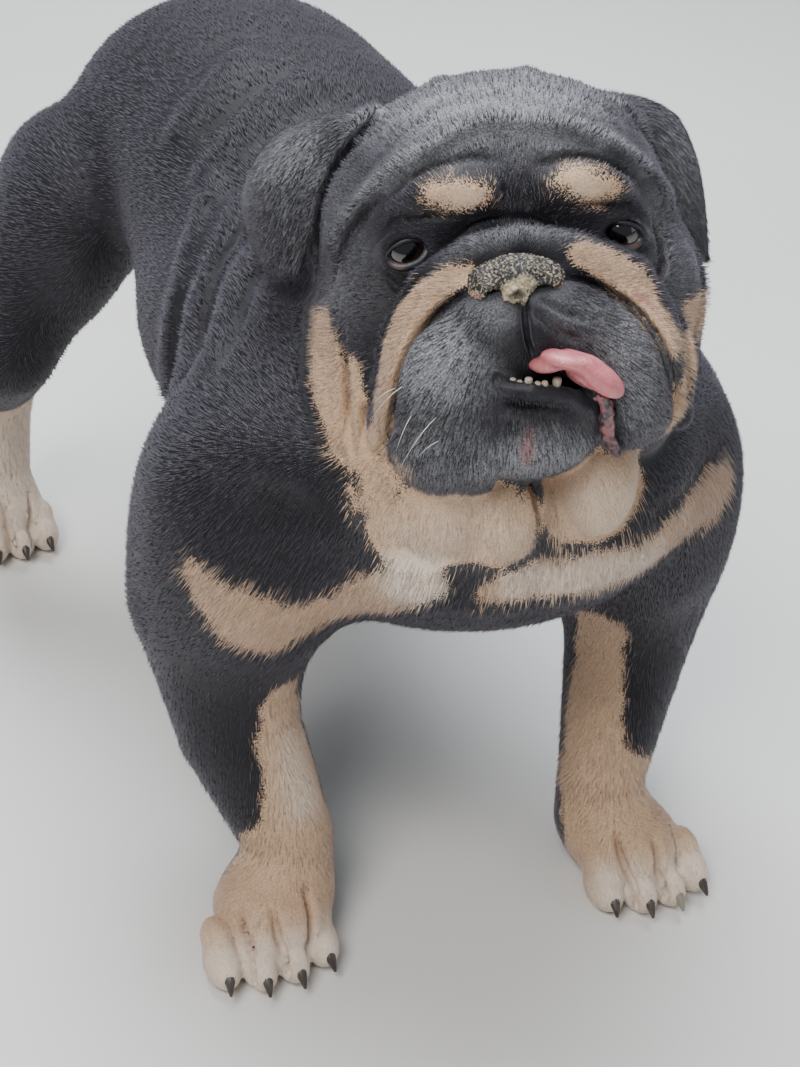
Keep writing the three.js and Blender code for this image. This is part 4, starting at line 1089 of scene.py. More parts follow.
class Finish(Nodes):
    """A material under construction."""

    def __init__(self, name):
        self.material = bpy.data.materials.new(name)
        self.material.use_nodes = True
        self.tree = self.material.node_tree
        self.tree.nodes.clear()
        self.place = self.node("ShaderNodeTexCoord").outputs["Object"]

    def attribute(self, name):
        return Value(self, self.node("ShaderNodeAttribute", {"attribute_name": name}).outputs["Fac"])

    def noise(self, scale, detail, stretch=(1, 1, 1)):
        place = self.node("ShaderNodeMapping", None, {"Vector": self.place, "Scale": stretch})
        values = {"Vector": place.outputs[0], "Scale": scale, "Detail": detail}
        return Value(self, self.node("ShaderNodeTexNoise", None, values).outputs[0])

    def grains(self, scale):
        values = {"Vector": self.place, "Scale": scale}
        return Value(self, self.node("ShaderNodeTexVoronoi", None, values).outputs["Distance"])

    def mix(self, factor, a, b):
        values = {0: factor, 6: colour4(a), 7: colour4(b)}
        return self.node("ShaderNodeMix", {"data_type": "RGBA"}, values).outputs[2]

    def bump(self, height, distance, strength):
        values = {"Height": height, "Distance": distance, "Strength": strength}
        return self.node("ShaderNodeBump", None, values).outputs[0]

    def shade(self, **values):
        names = {key.replace("_", " ").title().replace("Ior", "IOR"): value for key, value in values.items()}
        shader = self.node("ShaderNodeBsdfPrincipled", None, names)
        self.node("ShaderNodeOutputMaterial", None, {"Surface": shader.outputs[0]})
        return self.material


def colour4(value):
    if isinstance(value, (bpy.types.NodeSocket, Value)):
        return value
    return (*tuple(value)[:3], 1.0)


def scaled(value, by):
    return tuple(min(channel * by, 1.0) for channel in tuple(value)[:3])


def coat_material(colours):
    """Short hair: the markings' colours, broken from hair to hair, with lighter tips."""
    finish = Finish("coat")
    own = finish.attribute("own")
    tuft = own.ramp(0.0, 0.04)
    along = finish.attribute("along")
    fine = finish.noise(1100.0, 1.0)
    grain = fine.ramp(0.32, 0.68)
    broad = finish.noise(60.0, 3.0)
    shade = own * tuft + (grain * 0.4 + 0.3) * (1 - tuft)
    black = finish.mix(broad.ramp(0.35, 0.7), colours.black, scaled(colours.black, 1.5))
    black = finish.mix((shade * (along * 0.7 + 0.3)).ramp(0.15, 0.95) * 0.75, black, colours.black_tip)
    # Silver hairs from the grey-hair mask: real grey hair on the muzzle and chin, and painted highlight on
    # the lit crown, brow roll and top of the right ear
    grey_hair_and_highlight = finish.attribute("grey_hair_and_highlight")
    hairs = (grey_hair_and_highlight - own + 0.5).ramp(0.38, 0.62) * (along * 0.85 + 0.15)
    silver_and_highlight = finish.mix(shade, scaled(colours.silver_and_highlight, 0.6), colours.silver_and_highlight)
    colour = finish.mix(hairs * tuft + grey_hair_and_highlight * (grain * 0.35 + 0.25) * (1 - tuft), black, silver_and_highlight)
    tan = finish.mix((shade * 0.8 + broad * 0.2).ramp(0.1, 0.9), scaled(colours.tan, 0.62),
                     scaled(colours.tan, 1.15))
    cream = finish.mix(shade.ramp(0.1, 0.9), scaled(colours.cream, 0.85), colours.cream)
    tan = finish.mix(finish.attribute("cream") * 0.85, tan, cream)
    tan = finish.mix(along * 0.18, tan, colours.cream)
    edge = finish.attribute("tan") * 0.93 + (shade - 0.5) * 0.8
    colour = finish.mix(edge.ramp(0.36, 0.64), colour, tan)
    pink = finish.mix(fine.ramp(0.3, 0.7), scaled(colours.pink, 0.75), colours.pink)
    colour = finish.mix((finish.attribute("pink") + (fine - 0.5) * 0.5).ramp(0.25, 0.9), colour, pink)
    lip = finish.attribute("lip").ramp(0.35, 0.8)
    wet = lip.at_least(finish.attribute("pink").ramp(0.4, 0.9) * 0.6)
    colour = finish.mix(lip * (1 - finish.attribute("pink")), colour, colours.lip)
    rough = 0.50 + fine * 0.14 - wet * 0.08
    height = fine * 0.6 + finish.noise(420.0, 2.0, (1.0, 0.35, 0.6)) * 0.8
    return finish.shade(base_color=colour, roughness=rough, specular_ior_level=0.32, sheen_weight=0.27,
                        sheen_roughness=0.4, sheen_tint=(0.88, 0.84, 1.0, 1.0),
                        normal=finish.bump(height, 0.0006, 0.7))


def eye_material(colours):
    finish = Finish("eye")
    gaze = finish.attribute("gaze")
    rays = finish.noise(700.0, 3.0)
    iris = finish.mix(rays.ramp(0.3, 0.75), scaled(colours.iris, 0.45), scaled(colours.iris, 1.5))
    white = finish.mix(finish.noise(260.0, 3.0).ramp(0.4, 0.75), colours.haw, scaled(colours.haw, 0.45))
    colour = finish.mix(gaze.ramp(0.58, 0.66), white, scaled(colours.iris, 0.12))
    colour = finish.mix(gaze.ramp(0.68, 0.78), colour, iris)
    colour = finish.mix(gaze.ramp(0.82, 0.87), colour, (0.002, 0.002, 0.002))
    return finish.shade(base_color=colour, roughness=0.06 + rays * 0.02, coat_weight=1.0, coat_roughness=0.02,
                        specular_ior_level=0.6)


def lid_material(colours):
    finish = Finish("lid")
    fine = finish.noise(500.0, 3.0)
    colour = finish.mix(fine.ramp(0.3, 0.7), scaled(colours.lip, 0.7), scaled(colours.lip, 1.6))
    colour = finish.mix(finish.attribute("pink").ramp(0.3, 0.8), colour, colours.haw)
    return finish.shade(base_color=colour, roughness=0.42 + fine * 0.15, coat_weight=0.12, coat_roughness=0.2,
                        normal=finish.bump(fine, 0.0004, 0.6))


def nose_material(colours):
    """Dry nose leather: black pebbles under grey and cream crust."""
    finish = Finish("nose")
    crust = finish.attribute("crust")
    rim = finish.attribute("rim")
    fine = finish.noise(900.0, 3.0)
    spots = finish.noise(640.0, 4.0)
    pebbles = finish.grains(520.0)
    black = finish.mix(pebbles.ramp(0.2, 0.6), scaled(colours.nose, 4.0), scaled(colours.nose, 0.9))
    scale = finish.mix(fine.ramp(0.35, 0.65), colours.crust_grey, colours.crust)
    flakes = (spots + (fine - 0.5) * 0.9 + crust * 0.5).ramp(0.48, 0.66)
    colour = finish.mix(flakes * 0.8, black, scale)
    lump = finish.mix((fine * 0.5 + spots * 0.5).ramp(0.36, 0.60), scaled(colours.crust, 0.42), colours.crust)
    colour = finish.mix(crust.ramp(0.55, 0.85), colour, lump)
    colour = finish.mix(finish.attribute("pit") * 0.85, colour, scaled(colours.nose, 1.4))
    pale = finish.mix(spots.ramp(0.42, 0.60), colours.pink, colours.crust)
    colour = finish.mix((rim + (fine - 0.5) * 0.6).ramp(0.35, 0.9) * 0.85, colour, pale)
    rough = 0.55 + flakes * 0.25
    return finish.shade(base_color=colour, roughness=rough, specular_ior_level=0.5,
                        normal=finish.bump(1 - pebbles + fine * 0.6, 0.0007, 0.8))


def tongue_material(colours):
    finish = Finish("tongue")
    fine = finish.grains(1100.0)
    broad = finish.noise(120.0, 3.0)
    colour = finish.mix(broad.ramp(0.3, 0.7), scaled(colours.tongue, 0.8), colours.tongue)
    # Painted shade: the tongue turns dark red towards the back of the mouth and on its underside
    colour = finish.mix(finish.attribute("deep").ramp(0.0, 1.0) * 0.8, colour, scaled(colours.tongue, 0.25))
    return finish.shade(base_color=colour, roughness=0.32 + broad * 0.14, coat_weight=0.35,
                        coat_roughness=0.15,
                        normal=finish.bump(1 - fine, 0.0005, 0.5))


def lip_material(colours):
    finish = Finish("wet_lip")
    broad = finish.noise(240.0, 3.0)
    colour = finish.mix(broad.ramp(0.38, 0.60), scaled(colours.lip, 1.4), scaled(colours.tongue, 0.42))
    # Painted shade: the wet lip turns darker towards the inside of the mouth
    colour = finish.mix(finish.attribute("deep") * 0.8, colour, scaled(colours.lip, 0.7))
    return finish.shade(base_color=colour, roughness=0.26 + broad * 0.2, coat_weight=0.4, coat_roughness=0.12,
                        normal=finish.bump(broad, 0.0006, 0.6))


def tooth_material(colours):
    finish = Finish("tooth")
    broad = finish.noise(300.0, 3.0)
    colour = finish.mix(broad.ramp(0.3, 0.8), colours.tooth, scaled(colours.tooth, 0.7))
    colour = finish.mix(finish.attribute("along").ramp(0.45, 0.0), colour, scaled(colours.crust, 0.7))
    return finish.shade(base_color=colour, roughness=0.22 + broad * 0.1, coat_weight=0.3, coat_roughness=0.1)


def claw_material(colours):
    finish = Finish("claw")
    stripes = finish.noise(500.0, 3.0, (1.0, 0.15, 0.3))
    colour = finish.mix(stripes.ramp(0.35, 0.7), colours.claw, scaled(colours.claw, 2.2))
    colour = finish.mix(finish.attribute("pale"), colour, scaled(colours.tooth, 0.6))
    return finish.shade(base_color=colour, roughness=0.34 + stripes * 0.16,
                        normal=finish.bump(stripes, 0.0003, 0.5))


def whisker_material(colours):
    finish = Finish("whisker")
    fine = finish.noise(200.0, 2.0)
    colour = finish.mix(finish.attribute("pale"), colours.black, scaled(colours.cream, 1.3))
    return finish.shade(base_color=colour, roughness=0.3 + fine * 0.1)


def floor_material(colours):
    finish = Finish("floor")
    broad = finish.noise(1.4, 4.0)
    fine = finish.noise(90.0, 3.0)
    colour = finish.mix(broad.ramp(0.3, 0.7), colours.floor, scaled(colours.floor, 0.94))
    return finish.shade(base_color=colour, roughness=0.75 + fine * 0.1, normal=finish.bump(fine, 0.0003, 0.2))


# Settings that a user may change
def colour_setting(name, description, value):
    return bpy.props.FloatVectorProperty(name=name, description=description, subtype="COLOR", size=3,
                                         min=0, max=1,
                                         default=value)


def number_setting(name, description, value, low, **more):
    return bpy.props.FloatProperty(name=name, description=description, default=value, min=low, **more)


class BulldogShape(bpy.types.PropertyGroup):
    """How finely the pieces are made."""

    face_cell: number_setting("Face cell", "Spacing of the skin's mesh on the head", 0.0021, 0.001,
                              unit="LENGTH")
    body_cell: number_setting("Body cell", "Spacing of the skin's mesh on the body", 0.0066, 0.002,
                              unit="LENGTH")
    coat_depth: number_setting("Coat depth", "How far the skin lies inside the solids", 0.0012, 0,
                               unit="LENGTH")


class BulldogCoat(bpy.types.PropertyGroup):
    """The short hair."""

    share: number_setting("Tufts", "Share of the most tufts that a piece of coat may have", 1.0, 0.02,
                          max=1.0,
                          subtype="FACTOR")
    width: number_setting("Tuft width", "Width of a tuft at its root, as a share of its length", 0.105, 0.01,
                          subtype="FACTOR")
    lift: number_setting("Lift", "How steeply a tuft leaves the skin", 0.13, 0, subtype="FACTOR")
    length: number_setting("Length", "Length of the hair against its usual length", 1.0, 0.1,
                           subtype="FACTOR")
    seed: bpy.props.IntProperty(name="Seed", description="Seed of the random spread", default=7)


class BulldogColours(bpy.types.PropertyGroup):
    """The colours of coat, eyes, nose and mouth."""

    black: colour_setting("Black hair", "Colour of the black coat", (0.0058, 0.0055, 0.0085))
    black_tip: colour_setting("Black tips", "Colour of the black coat's tips", (0.040, 0.037, 0.048))
    # Colour of the grey hairs, and also of the painted highlight on the lit crown, brow roll and top of the
    # right ear
    silver_and_highlight: colour_setting("Silver hair", "Colour of the grey hairs", (0.68, 0.69, 0.73))
    tan: colour_setting("Tan hair", "Colour of the tan markings", (0.58, 0.385, 0.245))
    cream: colour_setting("Cream hair", "Colour of the palest hair", (0.88, 0.77, 0.65))
    pink: colour_setting("Bare skin", "Colour of bare pink skin", (0.36, 0.13, 0.12))
    lip: colour_setting("Lip", "Colour of the dark lips and lids", (0.018, 0.018, 0.024))
    iris: colour_setting("Iris", "Colour of the iris", (0.030, 0.014, 0.008))
    haw: colour_setting("Haw", "Colour of the eye's rim and white", (0.13, 0.075, 0.065))
    nose: colour_setting("Nose", "Colour of the nose leather", (0.012, 0.012, 0.014))
    crust: colour_setting("Crust", "Colour of the nose's dry crust", (0.50, 0.41, 0.27))
    crust_grey: colour_setting("Grey crust", "Colour of the nose's grey scale", (0.17, 0.155, 0.125))
    tongue: colour_setting("Tongue", "Colour of the tongue", (0.66, 0.20, 0.22))
    tooth: colour_setting("Tooth", "Colour of the teeth", (0.46, 0.41, 0.32))
    claw: colour_setting("Claw", "Colour of the dark claws", (0.035, 0.028, 0.024))
    floor: colour_setting("Floor", "Colour of the floor", (0.80, 0.79, 0.77))


def put(piece, material, replaced=()):
    """Gives a piece its material and tells the frame what it rides on and stands for."""
    piece.data.materials.clear()
    piece.data.materials.append(material)
    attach(piece, "root")
    if replaced:
        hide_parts(*replaced)
    return piece


def store(mesh, name, values, kind="FLOAT", domain="POINT"):
    layer = mesh.attributes.new(name, kind, domain)
    key = {"FLOAT": "value", "INT": "value", "FLOAT_VECTOR": "vector", "FLOAT2": "vector"}[kind]
    layer.data.foreach_set(key, np.asarray(values, np.int32 if kind == "INT" else np.float32).ravel())


FLESH = ["head", "lower_jaw", "dewlap", "neck", "torso", "tail", "ear_right", "ear_left"]
FLESH += ["foreleg_" + side + "_" + part for side in SIDES for part in ("upper", "lower", "paw")]
FLESH += ["hindleg_" + side + "_" + part for side in SIDES for part in ("thigh", "lower", "paw")]


def mesh_arrays(mesh):
    """A mesh's points, and its triangles' corners."""
    corners = read(mesh.loops, "vertex_index", 1, np.int32)
    if len(corners) != 3 * len(mesh.polygons):
        raise RuntimeError("the mesh is not all triangles")
    return read(mesh.vertices, "co", 3), corners.reshape(-1, 3)


def evaluated(piece):
    """A plain mesh of a piece with its modifiers."""
    bpy.context.view_layer.update()
    mesh = bpy.data.meshes.new_from_object(piece.evaluated_get(bpy.context.evaluated_depsgraph_get()))
    smooth_faces(mesh)
    return mesh


def thin_out(piece, most):
    """Makes a piece of triangles, and merges the ones that matter least until few enough are left."""
    thin = piece.modifiers.new("thin", "DECIMATE")
    thin.ratio = min(1.0, most / (2 * len(piece.data.polygons)))
    thin.use_collapse_triangulate = True
    piece.modifiers.new("triangles", "TRIANGULATE")
    mesh = evaluated(piece)
    piece.modifiers.clear()
    piece.data = mesh
    if len(mesh.polygons) >= MOST_TRIANGLES:
        raise RuntimeError(f"the {piece.name} has {len(mesh.polygons)} triangles")


class BULLDOG_OT_skin(bpy.types.Operator):
    """Makes the one skin that stands for all the nodes of flesh"""

    bl_idname = "bulldog.skin"
    bl_label = "Skin"

    def execute(self, context):
        shape = context.scene.bulldog_shape
        fine, coarse = shape.face_cell * 1000, shape.body_cell * 1000
        lines = [
            grid_lines((-226, -172, 5.4), (-172, -114, 3.4), (-114, 92, fine), (92, 146, 3.4),
                       (146, 196, coarse)),
            grid_lines((-100, 40, fine), (40, 124, fine * 1.5), (124, 384, coarse), (384, 484, 4),
                       (484, 520, coarse)),
            grid_lines((-4, 48, 3.4), (48, 270, coarse), (270, 490, fine)),
        ]
        skin = Skin(shape.coat_depth * 1000)
        vertices, quads = surface(skin, lines, -shape.coat_depth * 1000, 2)
        piece = mesh_object("skin", to_row(vertices), quads)
        thin_out(piece, SKIN_TRIANGLES)
        mesh = piece.data
        vertices, triangles = mesh_arrays(mesh)
        vertices = vertices * 1000 - SHIFT
        local = to_head(vertices)
        near_head = head_share(vertices, local)
        marks = markings(vertices, local)
        for name, weight in marks.items():
            store(mesh, name, weight)
        store(mesh, "along", np.zeros(len(vertices)))
        store(mesh, "hair", hair_length(vertices, local, near_head) / 1000)
        store(mesh, "cover", hair_cover(vertices, local, marks))
        store(mesh, "lie", coat_lie(vertices, local, near_head), "FLOAT_VECTOR")
        middle = vertices[triangles].mean(1)
        local = to_head(middle)
        store(mesh, "region", region_of(middle, local, head_share(middle, local)), "INT", "FACE")
        put(piece, coat_material(context.scene.bulldog_colours), FLESH)
        return {"FINISHED"}


def head_share(points, local):
    """How far a point belongs to the head and ears rather than to the neck and body."""
    head = blend([*HEAD_FORMS[:16], *JAW_FORMS, *DEWLAP_FORMS], local, FAR)
    for ear in (ball([-98, 70, 20], [40, 42, 50]), ball([90, 72, 16], [34, 42, 52])):
        head = np.minimum(head, ear.distance(local))
    others = np.minimum(blend(BODY_FORMS[:5], points, FAR), blend(NECK_FORMS, points, FAR))
    return smooth_step(8, -8, head - others)


def unwrap_regions(piece):
    """Each region of the skin unwrapped by itself over the whole square, in the map named roots."""
    mesh = piece.data
    mesh.uv_layers.new(name="roots")
    region = read(mesh.attributes["region"].data, "value", 1, np.int32)
    for other in bpy.context.view_layer.objects:
        other.select_set(False)
    bpy.context.view_layer.objects.active = piece
    piece.select_set(True)
    bpy.ops.object.mode_set(mode="EDIT")
    bpy.context.tool_settings.mesh_select_mode = (False, False, True)
    for number in range(len(REGIONS)):
        edit = bmesh.from_edit_mesh(mesh)
        for face, own in zip(edit.faces, region):
            face.select = bool(own == number)
        bmesh.update_edit_mesh(mesh)
        bpy.ops.uv.smart_project(angle_limit=math.radians(66), island_margin=0.002)
    bpy.ops.object.mode_set(mode="OBJECT")
    piece.select_set(False)


class Tree(Nodes):
    """A geometry node tree under construction."""

    def __init__(self, name):
        self.tree = bpy.data.node_groups.new(name, "GeometryNodeTree")
        self.tree.is_modifier = True

    def socket(self, name, kind, default, description):
        """Adds a named input, and gives back its identifier."""
        made = self.tree.interface.new_socket(name=name, in_out="INPUT", socket_type="NodeSocket" + kind)
        made.description = description
        if default is not None:
            made.default_value = default
        return made.identifier

    def named(self, name, kind="FLOAT"):
        return self.node("GeometryNodeInputNamedAttribute", {"data_type": kind}, {"Name": name}).outputs[0]

    def kept(self, geometry, name, value, kind="FLOAT", domain="POINT"):
        """The geometry with a value stored under a name."""
        values = {"Geometry": geometry, "Name": name, "Value": value}
        settings = {"data_type": kind, "domain": domain}
        return self.node("GeometryNodeStoreNamedAttribute", settings, values).outputs[0]

    def times(self, a, b):
        return self.node("ShaderNodeMath", {"operation": "MULTIPLY"}, {0: a, 1: b}).outputs[0]

    def vector(self, operation, *values, **more):
        values = {**dict(enumerate(values)), **more}
        return self.node("ShaderNodeVectorMath", {"operation": operation}, values).outputs[0]

    def random(self, low, high, seed, first=2):
        """A random number, or a random vector where its first input is 0."""
        settings = {"data_type": "FLOAT" if first else "FLOAT_VECTOR"}
        values = {first: low, first + 1: high, "Seed": seed}
        return self.node("FunctionNodeRandomValue", settings, values).outputs[first // 2]


def tuft_tree():
    """Tufts that lie along the coat on one region of the skin, with each root's place kept as a map."""
    tree = Tree("short coat")
    names = {row[0]: tree.socket(*row) for row in (
        ("Geometry", "Geometry", None, "Skin that the tufts grow on"),
        ("Region", "Int", 0, "Number of the region that the tufts grow on"),
        ("Density", "Float", 1000.0, "Tufts on a square metre"),
        ("Length", "Float", 1.0, "Length against the hair's usual length"),
        ("Width", "Float", 0.1, "Width as a share of the length"),
        ("Lift", "Float", 0.2, "How steeply a tuft leaves the skin"),
        ("Seed", "Int", 1, "Seed of the random spread"),
        ("Material", "Material", None, "Material of the tufts"),
    )}
    tree.tree.interface.new_socket(name="Geometry", in_out="OUTPUT", socket_type="NodeSocketGeometry")
    given = tree.node("NodeGroupInput").outputs
    seed = given["Seed"]
    here = tree.node("FunctionNodeCompare", {"data_type": "INT", "operation": "EQUAL"}, {
        2: tree.named("region", "INT"), 3: given["Region"],
    })
    spread = tree.node("GeometryNodeDistributePointsOnFaces", {"distribute_method": "RANDOM"}, {
        "Mesh": given["Geometry"], "Selection": here.outputs[0], "Seed": seed,
        "Density": tree.times(given["Density"], tree.named("cover")),
    })
    normal = spread.outputs["Normal"]
    rooted = tree.node("GeometryNodeSetPosition", None, {
        "Geometry": spread.outputs[0], "Offset": tree.vector("SCALE", normal, Scale=-ROOT_DEPTH),
    })

    lie = tree.named("lie", "FLOAT_VECTOR")
    lie = tree.vector("NORMALIZE", tree.vector("SUBTRACT", lie, tree.vector("PROJECT", lie, normal)))
    raised = tree.vector("SCALE", normal, Scale=tree.times(given["Lift"], tree.random(0.45, 1.6, seed)))
    strayed = tree.vector("SCALE", tree.random((-1, -1, -1), (1, 1, 1), seed, 0), Scale=STRAY)
    way = tree.vector("ADD", tree.vector("ADD", lie, raised), strayed)
    turned = tree.node("FunctionNodeAxesToRotation", {"primary_axis": "Z", "secondary_axis": "Y"}, {
        0: tree.vector("NORMALIZE", way), 1: normal,
    })
    length = tree.times(tree.times(given["Length"], tree.named("hair")), tree.random(0.7, 1.2, seed))
    size = tree.node("ShaderNodeCombineXYZ", None, {
        0: tree.times(length, given["Width"]), 1: tree.times(length, THICKNESS), 2: length,
    })

    cone = tree.node("GeometryNodeMeshCone", {"fill_type": "NGON"}, {
        "Vertices": 3, "Side Segments": 1, "Fill Segments": 1, "Radius Top": 0.0, "Radius Bottom": 0.5,
        "Depth": 1.0,
    })
    at = tree.node("GeometryNodeInputPosition").outputs[0]
    at = tree.node("ShaderNodeSeparateXYZ", None, {0: at}).outputs
    blade = tree.node("ShaderNodeCombineXYZ", None, {0: at[0], 1: at[2]}).outputs[0]
    tuft = tree.kept(tree.kept(cone.outputs[0], "along", at[2]), "blade", blade, "FLOAT_VECTOR")
    grown = tree.node("GeometryNodeInstanceOnPoints", None, {
        "Points": rooted.outputs[0], "Instance": tuft, "Rotation": turned.outputs[0],
        "Scale": size.outputs[0],
    })
    shaded = tree.kept(grown.outputs[0], "own", tree.random(0.05, 1.0, seed), domain="INSTANCE")
    real = tree.node("GeometryNodeRealizeInstances", None, {0: shaded})
    patch = tree.vector("SCALE", tree.named("blade", "FLOAT_VECTOR"), Scale=PATCH)
    place = tree.vector("ADD", tree.named("roots", "FLOAT_VECTOR"), patch)
    mapped = tree.kept(real.outputs[0], "OFBake", place, "FLOAT2", "CORNER")
    painted = tree.node("GeometryNodeSetMaterial", None, {"Geometry": mapped, "Material": given["Material"]})
    tree.node("NodeGroupOutput", None, {0: painted.outputs[0]})
    return tree.tree, names


def region_areas(mesh):
    """The area of each region, counted by how thickly hair grows on it."""
    region = read(mesh.attributes["region"].data, "value", 1, np.int32)
    cover = read(mesh.attributes["cover"].data, "value")
    corners = read(mesh.loops, "vertex_index", 1, np.int32)
    start = read(mesh.polygons, "loop_start", 1, np.int32)
    share = np.add.reduceat(cover[corners], start) / np.diff(np.append(start, len(corners)))
    area = read(mesh.polygons, "area") * share
    return [float(area[region == number].sum()) for number in range(len(REGIONS))]


def mark_tufts(mesh):
    """Gives the root and the tip of each tuft the markings of their own places."""
    tip = int(np.argmax(read(mesh.attributes["along"].data, "value")[:TUFT_CORNERS]))
    root = (tip + 1) % TUFT_CORNERS
    places = read(mesh.vertices, "co", 3).reshape(-1, TUFT_CORNERS, 3) * 1000 - SHIFT
    ends = {end: markings(places[:, end], to_head(places[:, end])) for end in (root, tip)}
    for name, weight in ends[root].items():
        values = np.repeat(weight[:, None], TUFT_CORNERS, axis=1)
        values[:, tip] = ends[tip][name]
        mesh.attributes[name].data.foreach_set("value", values.astype(REAL).ravel())


class BULLDOG_OT_coat(bpy.types.Operator):
    """Grows the short coat over the skin, one piece for each region"""

    bl_idname = "bulldog.coat"
    bl_label = "Coat"

    def execute(self, context):
        coat = context.scene.bulldog_coat
        skin = context.scene.objects["skin"]
        unwrap_regions(skin)
        group, names = tuft_tree()
        material = skin.data.materials[0]
        for number, area in enumerate(region_areas(skin.data)):
            carrier = link(skin.data, "carrier")
            grow = carrier.modifiers.new("coat", "NODES")
            grow.node_group = group
            for name, value in {
                "Region": number, "Density": coat.share * REGIONS[NAMES[number]] / area,
                "Length": coat.length,
                "Width": coat.width, "Lift": coat.lift, "Seed": coat.seed + number, "Material": material,
            }.items():
                grow[names[name]] = value
            mesh = evaluated(carrier)
            bpy.data.objects.remove(carrier)
            for unused in ("blade", "lie", "hair", "cover", "region", "roots", "sharp_face"):
                if unused in mesh.attributes:
                    mesh.attributes.remove(mesh.attributes[unused])
            mark_tufts(mesh)
            mesh.name = "coat_" + NAMES[number]
            triangles = len(mesh.loops) - 2 * len(mesh.polygons)
            if not 0 < triangles < MOST_TRIANGLES:
                raise RuntimeError(f"the coat piece {NAMES[number]} has {triangles} triangles")
            put(link(mesh), material)
        skin.data.uv_layers.remove(skin.data.uv_layers["roots"])
        for unused in ("lie", "hair", "cover", "region"):
            skin.data.attributes.remove(skin.data.attributes[unused])
        return {"FINISHED"}


def camera_place():
    """Where the camera stands and how it is turned, in the solids' frame."""
    azimuth, elevation, roll = [math.radians(CAMERA[name]) for name in ("azimuth", "elevation", "roll")]
    level = math.cos(elevation)
    back = np.array([math.sin(azimuth) * level, -math.cos(azimuth) * level, math.sin(elevation)])
    right0 = np.array([math.cos(azimuth), math.sin(azimuth), 0])
    up0 = np.cross(back, right0)
    right = right0 * math.cos(roll) + up0 * math.sin(roll)
    up = up0 * math.cos(roll) - right0 * math.sin(roll)
    return np.array(CAMERA["target"]) + back * CAMERA["distance"], right, up, back


class BULLDOG_OT_eyes(bpy.types.Operator):
    """Makes the two eyeballs with their clear bulge, and the rims of the lids"""

    bl_idname = "bulldog.eyes"
    bl_label = "Eyes and lids"

    def execute(self, context):
        colours = context.scene.bulldog_colours
        material = eye_material(colours)
        lids = lid_material(colours)
        camera = to_head(camera_place()[0])
        edit = bmesh.new()
        bmesh.ops.create_icosphere(edit, subdivisions=5, radius=1.0)
        rough = bpy.data.meshes.new("ball")
        edit.to_mesh(rough)
        edit.free()
        points = read(rough.vertices, "co", 3, float)
        faces = [list(face.vertices) for face in rough.polygons]
        bpy.data.meshes.remove(rough)
        for name, side in zip(SIDES, BOTH):
            centre = np.array(eye_at(side), float)
            gaze = camera - centre + np.array([side * 40, 0, 40])
            gaze /= np.linalg.norm(gaze)
            facing = points @ gaze
            radius = (EYE["radius"] - 0.35) * (1 + 0.055 * smooth_step(0.70, 0.95, facing))
            placed = from_head(centre + points * radius[:, None])
            piece = mesh_object("eyeball_" + name, to_row(placed), faces)
            store(piece.data, "gaze", facing)
            put(piece, material, ["eye_" + name])
            put(self.rims(name, side, centre), lids)
        return {"FINISHED"}

    def rims(self, name, side, centre):
        """The wet rims of the two lids: a rounded band round the opening, thicker and sagging below."""
        count, around = 72, 10
        cosine, sine = math.cos(math.radians(OPENING_TILT)), math.sin(math.radians(OPENING_TILT)) * side
        rings = []
        pink = []
        for n in range(count):
            turn = 2 * math.pi * n / count
            across = math.cos(turn)
            height = math.sin(turn)
            droop = -1.0 * max(0.0, -height) * (0.4 + 0.6 * max(0.0, across * side))
            x = across * (OPENING[0] - 0.4)
            z = height * (OPENING[2] - 1.2) * (1 - 0.10 * across**2) + droop
            x, z = x * cosine + z * sine, z * cosine - x * sine - 0.6
            spread = math.hypot(x, z)
            radius = EYE["radius"] + 0.5
            y = -math.sqrt(max(radius**2 - spread**2, 1))
            at = np.array([x, y, z])
            out = np.array([x, 0, z]) / spread
            front = at / np.linalg.norm(at)
            thick = 1.1 + 0.3 * max(0.0, -height)
            ring = []
            for k in range(around):
                swing = 2 * math.pi * k / around
                sideways = out * thick * 1.25 * math.cos(swing)
                ring.append(centre + at + sideways + front * thick * math.sin(swing))
            rings.append(ring)
            lower_outer = max(0.0, -height) * max(0.0, across * side + 0.2)
            pink.extend([min(1.0, 0.9 * lower_outer)] * around)
        vertices = np.array(rings).reshape(-1, 3)
        faces = [(n * around + k, n * around + (k + 1) % around, (n + 1) % count * around + (k + 1) % around,
                  (n + 1) % count * around + k) for n in range(count) for k in range(around)]
        piece = mesh_object("lid_rim_" + name, to_row(from_head(vertices)), faces)
        outward(piece.data)
        store(piece.data, "pink", pink)
        return piece


def outward(mesh):
    """Turns the faces of a closed mesh to point outwards."""
    edit = bmesh.new()
    edit.from_mesh(mesh)
    bmesh.ops.recalc_face_normals(edit, faces=edit.faces)
    edit.to_mesh(mesh)
    edit.free()


def head_box(low, high, cell):
    return [grid_lines((low[i], high[i], cell)) for i in range(3)]


